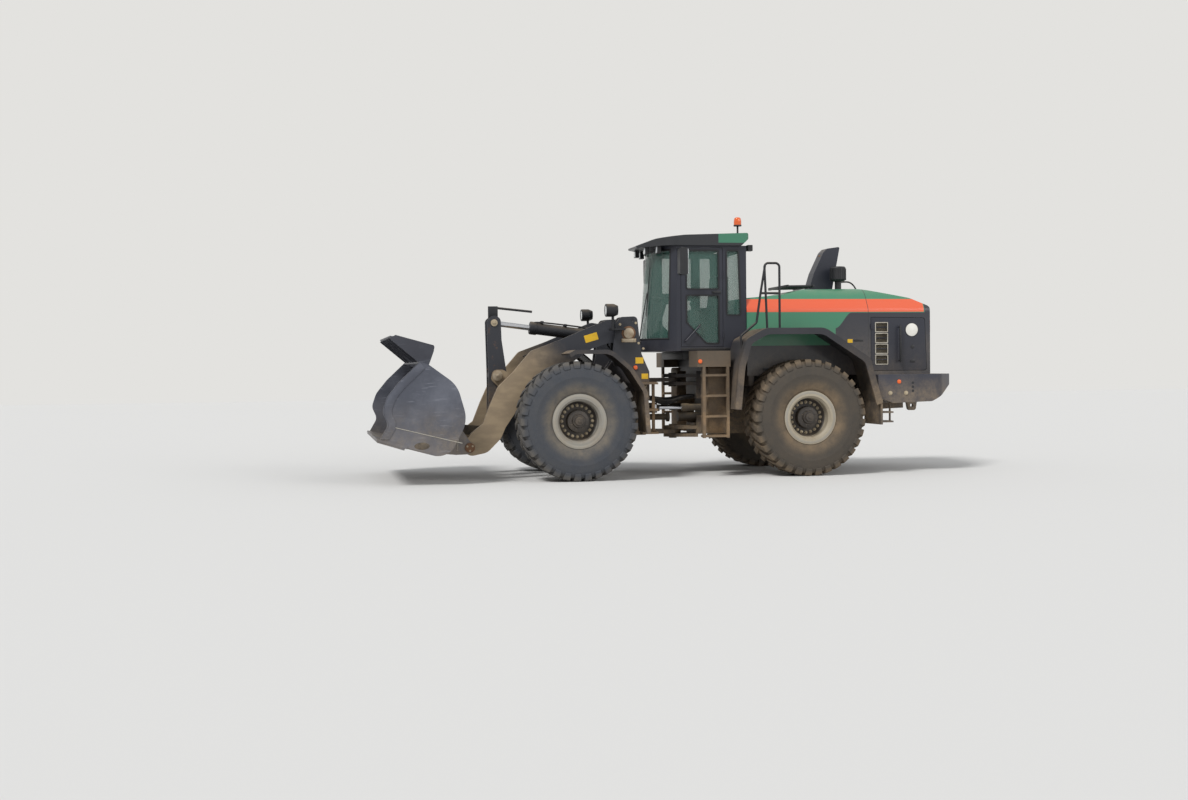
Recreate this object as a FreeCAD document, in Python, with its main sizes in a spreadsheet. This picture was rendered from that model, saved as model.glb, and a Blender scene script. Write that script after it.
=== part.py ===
import FreeCAD, Part
import math
import os

# Articulated wheel loader. +X is forward, +Y the machine's left, +Z up, millimetres.
# The origin lies on the ground under the articulation, half way between the axles.

V = FreeCAD.Vector
SIZES = {
    "wheel_base": 3450, "tread": 2300, "tyre_radius": 860, "tyre_width": 672, "bead_radius": 318,
    "rim_width": 560, "rim_wall": 28, "rim_flange": 394, "disc_offset": 40, "disc_thick": 34,
    "hub_radius": 165, "hub_depth": 120, "tube_radius": 150, "drum_radius": 240, "diff_radius": 290,
    "fit": 0.3, "run_gap": 6, "plate": 40, "skin": 25,
    "rail_y": 290, "rail_top": 1330, "yoke_top": 1560, "rail_rear": 3650, "pivot_nose": 170,
    "upper_tongue_z": 1430, "lower_tongue_z": 640, "tongue_thick": 60, "yoke_plate": 50, "pivot_pin": 60,
    "hood_half": 800, "hood_base": 1480, "hood_front": 960, "hood_rear": 3890, "hood_wall": 20,
    "weight_half": 1250, "weight_rear": 4280, "weight_front": 2860, "weight_base": 1080, "tow_plate": 70, "tow_bore": 28, "lifting_bore": 25,
    "cab_half": 780, "cab_rear": 960, "cab_base": 1860, "cab_top": 3430, "cab_wall": 50, "glass": 8,
    "fender_outer": 1500, "fender_lip": 30, "ladder_front": 140, "ladder_width": 400, "ladder_outer": 1270,
    "rail_tube": 17, "handrail_y": 1350, "arm_y": 640, "arm_thick": 80, "tower_outer_y": 740,
    "tower_inner_y": 545, "tower_plate": 30, "boom_pin_x": 850, "boom_pin_z": 2130, "boom_pin_r": 55,
    "hinge_x": 3220, "hinge_z": 480, "hinge_r": 45, "crank_x": 2740, "crank_z": 1520, "crank_r": 60,
    "crank_top_x": 2770, "crank_top_z": 2310, "crank_low_x": 2778, "crank_low_z": 670, "crank_y": 115,
    "crank_plate": 45, "link_ear_x": 3320, "link_ear_z": 730, "link_width": 90, "link_r": 40,
    "tilt_base_x": 970, "tilt_base_z": 2074, "tilt_bore": 88, "tilt_rod": 42, "tilt_barrel": 1260, "tilt_stem": 340,
    "lift_base_x": 620, "lift_base_z": 1000, "lift_eye_x": 1850, "lift_eye_z": 1560, "lift_y": 425,
    "lift_bore": 85, "lift_rod": 45, "lift_barrel": 1170, "lift_stem": 211, "eye_width": 100, "eye_ring": 45, "pin_r": 40,
    "steer_base_x": 800, "steer_base_y": 420, "steer_front_x": 380, "steer_front_y": 360, "steer_z": 1010,
    "steer_bore": 52, "steer_rod": 28, "steer_barrel": 760, "steer_stem": 480, "bucket_half": 1585, "bucket_side": 35,
    "bucket_wall": 30, "seat_z": 2420, "mirror_x": 105, "mirror_y": 1100, "mirror_z": 3170,
}

doc = FreeCAD.newDocument("WheelLoader")
sheet = doc.addObject("Spreadsheet::Sheet", "Sizes")
for row, (alias, amount) in enumerate(SIZES.items(), start=1):
    sheet.set("A%d" % row, alias)
    sheet.set("B%d" % row, str(amount))
    sheet.setAlias("B%d" % row, alias)
doc.recompute()
s = type("Sizes", (), SIZES)
SIDES = (("left", 1), ("right", -1))
TURN = {"X": FreeCAD.Rotation(V(0, 1, 0), 90), "Y": FreeCAD.Rotation(V(1, 0, 0), -90), "Z": FreeCAD.Rotation()}
AXES = {"X": V(1, 0, 0), "Y": V(0, 1, 0), "Z": V(0, 0, 1)}


def fresh(name):
    return name if doc.getObject(name) is None else fresh(name + "n")


# A property takes a cell's name, and is then bound to it, or a number.
def assign(feature, prop, amount):
    if isinstance(amount, str):
        feature.setExpression(prop, "Sizes." + amount)
    else:
        setattr(feature, prop, amount)


def amount_of(amount):
    return SIZES[amount] if isinstance(amount, str) else amount


def unit(a, b):
    length = math.hypot(b[0] - a[0], b[1] - a[1])
    return (b[0] - a[0]) / length, (b[1] - a[1]) / length


# Corners (u, v) or (u, v, radius), in order round a closed outline, as lines and tangent arcs.
def outline_edges(corners):
    cuts = []
    for i, corner in enumerate(corners):
        here = corner[:2]
        radius = corner[2] if len(corner) > 2 else 0
        to_last = unit(here, corners[i - 1][:2])
        to_next = unit(here, corners[(i + 1) % len(corners)][:2])
        half = math.acos(max(-1, min(1, to_last[0] * to_next[0] + to_last[1] * to_next[1]))) / 2
        if radius == 0 or abs(half - math.pi / 2) < 1e-4:
            cuts.append((V(*here, 0), None, V(*here, 0)))
            continue
        back = radius / math.tan(half)
        middle = unit((0, 0), (to_last[0] + to_next[0], to_last[1] + to_next[1]))
        inset = radius / math.sin(half) - radius
        cuts.append((V(here[0] + to_last[0] * back, here[1] + to_last[1] * back, 0),
                     V(here[0] + middle[0] * inset, here[1] + middle[1] * inset, 0),
                     V(here[0] + to_next[0] * back, here[1] + to_next[1] * back, 0)))
    edges = []
    for i, (begin, middle, end) in enumerate(cuts):
        if middle is not None:
            edges.append(Part.Arc(begin, middle, end))
        following = cuts[(i + 1) % len(cuts)][0]
        if (following - end).Length > 1e-6:
            edges.append(Part.LineSegment(end, following))
    return edges


def new_sketch(body, name, plane, corners, holes=()):
    sketch = body.newObject("Sketcher::SketchObject", fresh(name + "_sketch"))
    support = [part for part in body.Origin.OriginFeatures if part.Role == plane][0]
    sketch.AttachmentSupport = [(support, "")]
    sketch.MapMode = "FlatFace"
    sketch.addGeometry(outline_edges(corners), False)
    for u, v, radius in holes:
        sketch.addGeometry(Part.Circle(V(u, v, 0), V(0, 0, 1), radius), False)
    return sketch


# A plate padded both ways from a plane: XZ outlines lie at y, XY outlines at z, YZ outlines at x.
def plate(name, corners, thick, level=0, plane="XZ_Plane", holes=()):
    body = doc.addObject("PartDesign::Body", fresh(name))
    sketch = new_sketch(body, name, plane, corners, holes)
    pad = body.newObject("PartDesign::Pad", fresh(name + "_pad"))
    pad.Profile = sketch
    pad.SideType = "Symmetric"
    assign(pad, "Length", thick)
    normal = {"XZ_Plane": V(0, 1, 0), "XY_Plane": V(0, 0, 1), "YZ_Plane": V(1, 0, 0)}[plane]
    body.Placement = FreeCAD.Placement(normal * level, FreeCAD.Rotation())
    return body


# A body turned about its own axis from (radius, along) corners, then laid along X, Y or Z.
def turned(name, corners, centre, axis="Y", reverse=False):
    body = doc.addObject("PartDesign::Body", fresh(name))
    sketch = new_sketch(body, name, "XZ_Plane", corners)
    spin = body.newObject("PartDesign::Revolution", fresh(name + "_spin"))
    spin.Profile = sketch
    spin.ReferenceAxis = (sketch, ["V_Axis"])
    spin.Angle = 360
    turn = TURN[axis]
    if reverse:
        turn = turn.multiply(FreeCAD.Rotation(V(1, 0, 0), 180))
    body.Placement = FreeCAD.Placement(V(*centre), turn)
    return body


def bar(name, radius, length, centre, axis="Y"):
    rod = doc.addObject("Part::Cylinder", fresh(name))
    assign(rod, "Radius", radius)
    assign(rod, "Height", length)
    start = V(*centre) - AXES[axis] * (amount_of(length) / 2)
    rod.Placement = FreeCAD.Placement(start, TURN[axis])
    return rod


# A bar between two points.
def strut(name, radius, start, end):
    rod = doc.addObject("Part::Cylinder", fresh(name))
    assign(rod, "Radius", radius)
    way = V(*end) - V(*start)
    rod.Height = way.Length
    rod.Placement = FreeCAD.Placement(V(*start), FreeCAD.Rotation(V(0, 0, 1), way))
    return rod


def block(name, low, high):
    box = doc.addObject("Part::Box", fresh(name))
    box.Length = high[0] - low[0]
    box.Width = high[1] - low[1]
    box.Height = high[2] - low[2]
    box.Placement = FreeCAD.Placement(V(*low), FreeCAD.Rotation())
    return box


# A bent tube through points, with each bend rounded to the given radius.
def tube(name, radius, points, bend):
    edges = []
    last = V(*points[0])
    for i in range(1, len(points) - 1):
        corner = V(*points[i])
        inward = (V(*points[i - 1]) - corner).normalize()
        outward = (V(*points[i + 1]) - corner).normalize()
        half = inward.getAngle(outward) / 2
        back = bend / math.tan(half)
        middle = corner + (inward + outward).normalize() * (bend / math.sin(half) - bend)
        edges.append(Part.LineSegment(last, corner + inward * back).toShape())
        edges.append(Part.Arc(corner + inward * back, middle, corner + outward * back).toShape())
        last = corner + outward * back
    edges.append(Part.LineSegment(last, V(*points[-1])).toShape())
    path = doc.addObject("Part::Feature", fresh(name + "_path"))
    path.Shape = Part.Wire(edges)
    ring = doc.addObject("Part::Circle", fresh(name + "_ring"))
    assign(ring, "Radius", radius)
    way = V(*points[1]) - V(*points[0])
    ring.Placement = FreeCAD.Placement(V(*points[0]), FreeCAD.Rotation(V(0, 0, 1), way))
    sweep = doc.addObject("Part::Sweep", fresh(name))
    sweep.Sections = [ring]
    sweep.Spine = (path, ["Edge%d" % (i + 1) for i in range(len(edges))])
    sweep.Solid = True
    return sweep


def fuse(name, pieces):
    joined = doc.addObject("Part::MultiFuse", fresh(name))
    joined.Shapes = pieces
    joined.Refine = True
    return joined


def cut(name, base, tools):
    tool = tools[0] if len(tools) == 1 else fuse(name + "_tools", tools)
    less = doc.addObject("Part::Cut", fresh(name))
    less.Base = base
    less.Tool = tool
    less.Refine = True
    return less


def common(name, base, tool):
    both = doc.addObject("Part::Common", fresh(name))
    both.Base = base
    both.Tool = tool
    return both


def group(name, pieces):
    several = doc.addObject("Part::Compound", fresh(name))
    several.Links = pieces
    return several


NODES = []


# A finished sub-part: one feature, or several joined, under the name of its file.
def node(label, pieces, apart=False):
    if len(pieces) == 1:
        part = pieces[0]
    elif apart:
        part = group(label, pieces)
    else:
        part = fuse(label, pieces)
    part.Label = label
    NODES.append(part)
    return part


# Wheels

# The casing has this many flat sides round its tread, 3 mm off a true round at most.
FACETS = 40


def tyre(place, x, y):
    half = s.tyre_width / 2
    seat = s.rim_width / 2 - 14
    # (radius, distance from the tyre's middle plane)
    right = [(s.rim_flange + 12, seat), (s.tyre_radius * 0.54, half * 0.95), (s.tyre_radius * 0.68, half),
             (s.tyre_radius * 0.87, half * 0.985), (s.tyre_radius - 26, half * 0.9), (s.tyre_radius, half * 0.76)]
    left = [(radius, -out) for radius, out in reversed(right)]
    turns = [2 * math.pi * i / FACETS for i in range(FACETS)]
    rings = [[V(radius * math.cos(turn), out, radius * math.sin(turn)) for turn in turns] for radius, out in right + left]
    faces = [Part.Face(Part.makePolygon(ring + ring[:1])) for ring in (rings[0], rings[-1])]
    for near, far in zip(rings, rings[1:]):
        for i in range(FACETS):
            corners = [near[i - 1], near[i], far[i], far[i - 1]]
            faces.append(Part.Face(Part.makePolygon(corners + corners[:1])))
    casing = doc.addObject("Part::Feature", fresh("casing_" + place))
    casing.Shape = Part.Solid(Part.Shell(faces))
    casing.Placement = FreeCAD.Placement(V(x, y, s.tyre_radius), FreeCAD.Rotation())
    bore = bar("tyre_bore_" + place, s.bead_radius + s.fit, s.tyre_width, (x, y, s.tyre_radius))
    return node("tyre_" + place, [cut("tyre_cut_" + place, casing, [bore])])


def rim(place, x, y, side):
    half = s.rim_width / 2
    wall = s.rim_wall
    inner = s.bead_radius - wall
    flange = s.rim_flange
    disc = s.disc_offset
    back = disc + s.disc_thick
    deep = back + s.hub_depth
    # (radius, distance out from the wheel's middle plane)
    corners = [(inner, -half), (flange, -half), (flange, -half + 13), (s.bead_radius, -half + 13),
               (s.bead_radius, half - 13), (flange, half - 13), (flange, half), (inner + 30, half),
               (inner, half - 40), (inner, back + 40), (inner - 40, back), (s.hub_radius, back),
               (s.hub_radius - 10, deep - 26), (s.hub_radius - 55, deep - 10), (95, deep - 10),
               (86, deep + 30), (0, deep + 30), (0, disc), (inner, disc)]
    wheel = turned("rim_body_" + place, corners, (x, y, s.tyre_radius), reverse=side < 0)
    return node("rim_" + place, [wheel])


def wheels():
    for end, x in (("front", s.wheel_base / 2), ("rear", -s.wheel_base / 2)):
        for name, side in SIDES:
            y = side * s.tread / 2
            tyre(end + "_" + name, x, y)
            rim(end + "_" + name, x, y, side)


def axle(name, x):
    face = s.tread / 2 + s.disc_offset - s.fit
    drum = face - 20
    # (radius, distance from the middle)
    half = [(0, face), (120, face), (120, drum), (s.drum_radius, drum), (s.drum_radius, drum - 190, 20),
            (s.tube_radius + 30, drum - 240), (s.tube_radius, drum - 420), (s.tube_radius, 262),
            (s.diff_radius, 110, 60)]
    other = [(corner[0], -corner[1]) + tuple(corner[2:]) for corner in reversed(half)]
    return turned(name, half + other, (x, 0, s.tyre_radius))


def rear_axle():
    x = -s.wheel_base / 2
    nose = bar("axle_trunnion", 110, 2 * (s.diff_radius + 130), (x, 0, s.tyre_radius), "X")
    shaft = strut("rear_shaft", 48, (x + 300, 0, s.tyre_radius), (-1160, 0, s.tyre_radius))
    node("rear_axle", [axle("rear_axle_housing", x), nose, shaft])


def front_axle():
    x = s.wheel_base / 2
    pads = [block("axle_pad", (x - 170, side * 300 - 60, s.tyre_radius + 60),
                  (x + 170, side * 300 + 60, s.tyre_radius + 160)) for _, side in SIDES]
    shaft = strut("front_shaft", 48, (x - 200, 0, s.tyre_radius), (90, 0, s.tyre_radius))
    yoke = bar("front_yoke", 75, 40, (80, 0, s.tyre_radius), "X")
    carrier = bar("shaft_bearing", 95, 90, (540, 0, s.tyre_radius), "X")
    node("front_axle", [axle("front_axle_housing", x), shaft, yoke, carrier] + pads)


# Rear frame, drive line and counterweight

def rear_frame():
    top = s.rail_top
    rear = -s.rail_rear
    rail = [(-300, 600, 30), (-1180, 600, 60), (-1240, 1120, 60), (-2210, 1120, 60), (-2270, 900, 60),
            (rear, 950), (rear, top), (-955, top), (-945, s.yoke_top), (-300, s.yoke_top),
            (-300, 1140), (-700, 1140, 30), (-700, 880, 30), (-300, 880)]
    pieces = [plate("rear_rail", rail, "plate", side * s.rail_y) for _, side in SIDES]
    wide = s.rail_y + s.plate / 2
    pieces.append(block("yoke_web_top", (-340, -wide, 1140), (-300, wide, s.yoke_top)))
    pieces.append(block("yoke_web_low", (-340, -wide, 600), (-300, wide, 760)))
    pieces.append(block("belly_plate", (-1180, -wide, 600), (-320, wide, 620)))
    pieces.append(block("rear_cross", (rear, -wide, 950), (rear + 40, wide, top)))
    nose = [(-320, -wide), (-320, wide), (0, s.pivot_nose, s.pivot_nose * 0.6), (s.pivot_nose, 0, 60),
            (0, -s.pivot_nose, s.pivot_nose * 0.6)]
    gap = s.tongue_thick / 2 + s.run_gap + s.yoke_plate / 2
    for level in (s.upper_tongue_z, s.lower_tongue_z):
        for step in (-gap, gap):
            pieces.append(plate("yoke", nose, "yoke_plate", level + step, "XY_Plane"))
        pieces.append(bar("pivot_pin", "pivot_pin", 2 * gap + s.yoke_plate + 40, (0, 0, level), "Z"))
    for x in (-s.wheel_base / 2 + 380, -s.wheel_base / 2 - 380):
        cross = [(-wide, 700), (wide, 700), (wide, top - 60), (-wide, top - 60)]
        hole = [(0, s.tyre_radius, 110 + s.fit)]
        pieces.append(plate("trunnion_wall", cross, "plate", x, "YZ_Plane", hole))
    for x in (-360, -880):
        pieces.append(block("cab_beam", (x - 60, -s.cab_half, s.yoke_top), (x + 60, s.cab_half, s.cab_base)))
    for x in (-1020, -2780):
        pieces.append(block("hood_beam", (x - 40, -s.hood_half, top), (x + 40, s.hood_half, s.hood_base)))
    for _, side in SIDES:
        spread = s.eye_width / 2 + s.fit + 12.5
        pieces.append(bar("steer_base_pin", "pin_r", 2 * spread + 60,
                          (-s.steer_base_x, side * s.steer_base_y, s.steer_z), "Z"))
        for step in (-spread, spread):
            ear = [(-s.steer_base_x - 110, side * wide), (-s.steer_base_x + 110, side * wide),
                   (-s.steer_base_x + 60, side * (s.steer_base_y + 60), 40),
                   (-s.steer_base_x - 60, side * (s.steer_base_y + 60), 40)]
            pieces.append(plate("steer_ear", ear, 25, s.steer_z + step, "XY_Plane"))
    node("rear_frame", pieces)


def counterweight():
    rear = -s.weight_rear
    front = -s.weight_front
    profile = [(front, s.hood_base), (front, s.weight_base + 60, 40), (front - 240, s.weight_base - 30, 60),
               (rear + 560, s.weight_base - 10, 60), (rear + 60, s.hood_base - 160, 60),
               (rear, s.hood_base - 110, 30), (rear, s.hood_base)]
    side = plate("weight_profile", profile, 2 * s.weight_half)
    half = s.weight_half
    plan = [(front + 10, -half), (front + 10, half), (rear + 420, half, 200), (rear, half * 0.55, 500),
            (rear, -half * 0.55, 500), (rear + 420, -half, 200)]
    top = plate("weight_plan", plan, 2 * s.hood_base, 0, "XY_Plane")
    body = common("weight_body", side, top)
    wide = s.rail_y + s.plate / 2
    slot = block("weight_slot", (-s.rail_rear - 1, -wide - 1, 0), (front + 20, wide + 1, s.rail_top + 1))
    hook = [(rear + 300, s.weight_base - 180, 40), (rear + 420, s.weight_base - 180, 40),
            (rear + 470, s.weight_base + 60), (rear + 260, s.weight_base + 60)]
    hitch = plate("tow_hook", hook, "tow_plate", holes=[(rear + 365, s.weight_base - 100, s.tow_bore)])
    steps = []
    for _, sign in SIDES:
        for z in (760, 900):
            steps.append(block("rear_step", (front - 250, sign * 1100 - 120, z), (front - 60, sign * 1100 + 120, z + 25)))
        for x in (front - 250, front - 80):
            steps.append(block("rear_step_leg", (x, sign * 1100 - 15, 760), (x + 20, sign * 1100 + 15, s.weight_base + 60)))
    node("counterweight", [cut("weight_cut", body, [slot]), hitch] + steps)


def driveline():
    node("gearbox", [block("gearbox_case", (-1130, -s.rail_y + 60, 640), (-420, s.rail_y - 60, 1310)),
                     bar("output_yoke", 70, 340, (-250, 0, s.tyre_radius), "X"),
                     bar("rear_output", 70, 60, (-1130, 0, s.tyre_radius), "X")])
    node("engine_block", [block("engine_case", (-s.hood_rear + 1160, -380, s.rail_top), (-1250, 380, 2350))])
    node("cooling_pack", [block("radiator_core", (-s.hood_rear + 290, -620, s.hood_base), (-s.hood_rear + 790, 620, 2420))])


# Hood and its doors

# (share of the hood's length from its front, Z, radius)
HOOD_TOP = ((0, 2650), (0.2048, 2700), (0.3276, 2790, 400), (0.6416, 2800, 900), (0.901, 2650, 400), (1, 2520, 60))


def hood_profile(inset, base):
    length = s.hood_rear - s.hood_front
    top = [(-s.hood_front - share * length, z - inset) + tuple(more) for share, z, *more in HOOD_TOP]
    top[0] = (-s.hood_front - inset, top[0][1])
    top[-1] = (-s.hood_rear + inset, top[-1][1]) + tuple(HOOD_TOP[-1][2:])
    return [(-s.hood_front - inset, base)] + top + [(-s.hood_rear + inset, base)]


def crown(inset):
    half = s.hood_half - inset
    top = 2960 - 1.3 * inset
    return [(-half, s.hood_base - 60), (half, s.hood_base - 60), (half, 2480, 160), (half - 170, 2760, 300),
            (0, top), (-half + 170, 2760, 300), (-half, 2480, 160)]


def hood():
    outer = plate("hood_outer", hood_profile(0, s.hood_base), 2 * s.hood_half)
    inner = plate("hood_inner", hood_profile(s.hood_wall, s.hood_base - 50), 2 * s.hood_half)
    shell = cut("hood_shell", common("hood_round", outer, plate("hood_crown", crown(0), 12000, 0, "YZ_Plane")),
                [common("hood_hollow", inner, plate("hood_crown_in", crown(s.hood_wall), 12000, 0, "YZ_Plane"))])
    bay = plate("door_bay", side_door_outline(-s.run_gap), 2 * s.hood_half + 100)
    back = plate("grille_bay", grille_outline(-s.run_gap), 300, -s.hood_rear, "YZ_Plane")
    node("hood", [cut("hood_cut", shell, [bay, back])])


def side_door_outline(inset):
    front = -s.hood_rear + 960
    rear = -s.hood_rear + 60
    return [(front - inset, s.hood_base + 60 + inset), (rear + inset, s.hood_base + 60 + inset, 40),
            (rear + 30 + inset, 2340 - inset, 40), (front - inset, 2350 - inset)]


def grille_outline(inset):
    half = 690 - inset
    return [(-half, 1560 + inset, 50), (half, 1560 + inset, 50), (half, 2380 - inset, 80), (-half, 2380 - inset, 80)]


def hood_doors():
    front = -s.hood_rear + 960
    for name, side in SIDES:
        y = side * (s.hood_half - s.hood_wall / 2)
        skin = plate("door_skin_" + name, side_door_outline(0), "hood_wall", y)
        slots = []
        for i in range(4):
            z = 1640 + i * 165
            slots.append(block("vent_slot", (front - 260, y - 60, z), (front - 75, y + 60, z + 130)))
        open_skin = cut("door_open_" + name, skin, slots)
        slats = [block("vent_slat", (front - 270, y - 6, 1700 + i * 165), (front - 68, y + 6, 1712 + i * 165)) for i in range(4)]
        grip = [bar("door_grip", 12, 560, (front - 450, y + side * 60, 1945), "Z")]
        grip += [bar("door_grip_foot", 9, 60, (front - 450, y + side * 30, z)) for z in (1690, 2200)]
        hinges = []
        for z in (1680, 2210):
            hinges.append(bar("door_knuckle", 10, 80, (front + 3, side * (s.hood_half + 10 + s.fit), z), "Z"))
            hinges.append(block("door_leaf", (front - 60, side * (s.hood_half + 3) - 3, z - 40),
                                (front + 3, side * (s.hood_half + 3) + 3, z + 40)))
        node("side_door_" + name, [open_skin] + grip + slats + hinges)
    frame = plate("grille_frame", grille_outline(0), "hood_wall", -s.hood_rear + s.hood_wall / 2, "YZ_Plane")
    slots = [block("grille_slot", (-s.hood_rear - 20, -600, 1630 + i * 58), (-s.hood_rear + 60, 600, 1630 + i * 58 + 34))
             for i in range(12)]
    hinges = []
    for z in (1720, 2240):
        hinges.append(bar("grille_knuckle", 10, 80, (-s.hood_rear - 10 - s.fit, -693, z), "Z"))
        hinges.append(block("grille_leaf", (-s.hood_rear - 6, -693, z - 40), (-s.hood_rear, -630, z + 40)))
    node("rear_grille", [cut("grille_cut", frame, slots)] + hinges)


# Fenders, steps and rails

# (X from the axle, Z, radius)
REAR_ARCH = ((1165, 1000), (1105, 1620, 500), (985, 2020, 120), (685, 2180, 260), (-215, 2180, 240),
             (-915, 1730, 160), (-1105, 1060))
FRONT_ARCH = ((155, 1830), (65, 1880, 80), (-465, 1880, 260), (-765, 1620, 260), (-985, 1280, 200), (-1025, 680))


def arch(line, middle):
    return [(middle + point[0],) + tuple(point[1:]) for point in line]


# An open line thickened inwards: out along the line and back along a copy moved square to it.
def strip_outline(line, thick):
    back = []
    for i, point in enumerate(line):
        normals = []
        for a, b in ((i - 1, i), (i, i + 1)):
            if a >= 0 and b < len(line):
                way = unit(line[a][:2], line[b][:2])
                normals.append((-way[1], way[0]))
        total = [sum(n[k] for n in normals) for k in (0, 1)]
        norm = math.hypot(*total)
        share = thick / (norm / 2 if len(normals) == 2 else 1) / (norm if len(normals) == 2 else 1)
        share = thick * len(normals) / norm ** 2 if len(normals) == 2 else thick
        radius = point[2] if len(point) > 2 else 0
        back.append((point[0] + total[0] * share, point[1] + total[1] * share) + ((radius,) if radius else ()))
    return list(line) + back[::-1]


def fender(name, line, side, inner, lip_depth):
    width = s.fender_outer - inner
    skin = plate(name + "_skin", strip_outline(line, -s.skin), width, side * (inner + width / 2))
    lip = plate(name + "_lip", strip_outline(line, lip_depth), "fender_lip",
                side * (s.fender_outer - s.fender_lip / 2))
    return [skin, lip]


def rear_fenders():
    pieces = []
    middle = -s.wheel_base / 2
    for _, side in SIDES:
        parts = fender("rear_fender", arch(REAR_ARCH, middle)[::-1], side, s.hood_half, -95)
        parts.append(block("mud_flap", (middle - 1105, side * 1160 - 330, 740), (middle - 1075, side * 1160 + 330, 1120)))
        parts.append(block("fender_arm", (middle + 1085, side * 700 - 110, 1600), (middle + 1125, side * 700 + 110, 1700)))
        pieces.append(fuse("rear_fender_side", parts))
    node("rear_fenders", pieces, apart=True)


def front_fenders():
    pieces = []
    for _, side in SIDES:
        parts = fender("front_fender", arch(FRONT_ARCH, s.wheel_base / 2)[::-1], side, 812, -60)
        middle = (s.tower_outer_y + s.tower_plate / 2 + 830) / 2
        half = 830 - middle
        parts.append(block("fender_bracket", (1010, side * middle - half, 1650), (1090, side * middle + half, 1710)))
        pieces.append(fuse("front_fender_side", parts))
    node("front_fenders", pieces, apart=True)


def access_steps():
    pieces = []
    front = -s.ladder_front
    rear = front - s.ladder_width
    for _, side in SIDES:
        parts = []
        for x in (front - 40, rear):
            parts.append(block("stringer", (x, side * (s.ladder_outer - 30) - 30, 580),
                               (x + 40, side * (s.ladder_outer - 30) + 30, 1640)))
        for z in (590, 880, 1180, 1480):
            parts.append(block("rung", (rear, side * (s.ladder_outer - 70) - 70, z),
                               (front, side * (s.ladder_outer - 70) + 70, z + 30)))
        middle = (s.ladder_outer + s.cab_half) / 2
        half = s.ladder_outer - middle
        parts.append(block("step_box", (rear - 20, side * middle - half, 1620), (front + 80, side * middle + half, 1855)))
        pieces.append(fuse("access_side", parts))
    node("access_steps", pieces, apart=True)


def handrails():
    pieces = []
    top = 3130
    below = plate("fender_mass", arch(REAR_ARCH, -s.wheel_base / 2), 2 * s.fender_outer)
    for _, side in SIDES:
        y = side * s.handrail_y
        hoop = tube("hand_hoop", "rail_tube", [(-1100, y, 2150), (-1060, y, top), (-1290, y, top), (-1290, y, 2150)], 60)
        front = tube("hand_front", "rail_tube", [(-1070, y, top - 40), (-1000, y, 2690), (-935, y, 2260),
                                                 (-690, y, 2060), (-720, y, 1840)], 60)
        middle = strut("hand_middle", "rail_tube", (-1000, y, 2690), (-1290, y, 2690))
        pieces.append(cut("handrail_cut", fuse("handrail_side", [hoop, front, middle]), [below]))
    node("handrails", pieces, apart=True)


# Cab

def cab_loft(name, inset):
    body = doc.addObject("PartDesign::Body", fresh(name))
    sketches = []
    for level, bulge in ((s.cab_base + inset, 400), (s.cab_top, 270)):
        side = s.cab_half - inset
        rear = -s.cab_rear + inset
        nose = 120 + bulge - inset
        sketch = body.newObject("Sketcher::SketchObject", fresh(name + "_section"))
        support = [part for part in body.Origin.OriginFeatures if part.Role == "XY_Plane"][0]
        sketch.AttachmentSupport = [(support, "")]
        sketch.AttachmentOffset = FreeCAD.Placement(V(0, 0, level), FreeCAD.Rotation())
        sketch.MapMode = "FlatFace"
        sketch.addGeometry([Part.LineSegment(V(120, side, 0), V(rear, side, 0)),
                            Part.LineSegment(V(rear, side, 0), V(rear, -side, 0)),
                            Part.LineSegment(V(rear, -side, 0), V(120, -side, 0)),
                            Part.Arc(V(120, -side, 0), V(nose, 0, 0), V(120, side, 0))], False)
        sketches.append(sketch)
    loft = body.newObject("PartDesign::AdditiveLoft", fresh(name + "_loft"))
    loft.Profile = sketches[0]
    loft.Sections = [sketches[1]]
    return body


# Window outlines (X, Z, radius) cut from side to side, and (Y, Z, radius) cut from front to back.
QUARTER = ((-640, 2380, 40), (-640, 3370, 40), (-850, 3370, 40), (-880, 2380, 40))
DOOR = ((50, 1925), (50, 3400, 30), (-590, 3400, 30), (-590, 1925))
DOOR_TOP = ((-20, 2770, 30), (-20, 3370, 30), (-540, 3370, 30), (-540, 2770, 30))
DOOR_LOW = ((-20, 2280, 30), (-20, 2700, 30), (-540, 2700, 30), (-540, 1960, 40), (-330, 1960, 60))
REAR_WINDOW = ((-640, 2500, 50), (640, 2500, 50), (640, 3360, 50), (-640, 3360, 50))
WINDSCREEN = ((-690, 2040, 60), (690, 2040, 60), (690, 3380, 60), (-690, 3380, 60))


def grown(corners, amount):
    middle = [sum(c[k] for c in corners) / len(corners) for k in (0, 1)]
    return [(c[0] + amount * math.copysign(1, c[0] - middle[0]), c[1] + amount * math.copysign(1, c[1] - middle[1]))
            + tuple(c[2:]) for c in corners]


def side_cutter(name, corners, sign):
    return plate(name, corners, 400, sign * (s.cab_half - 20))


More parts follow.
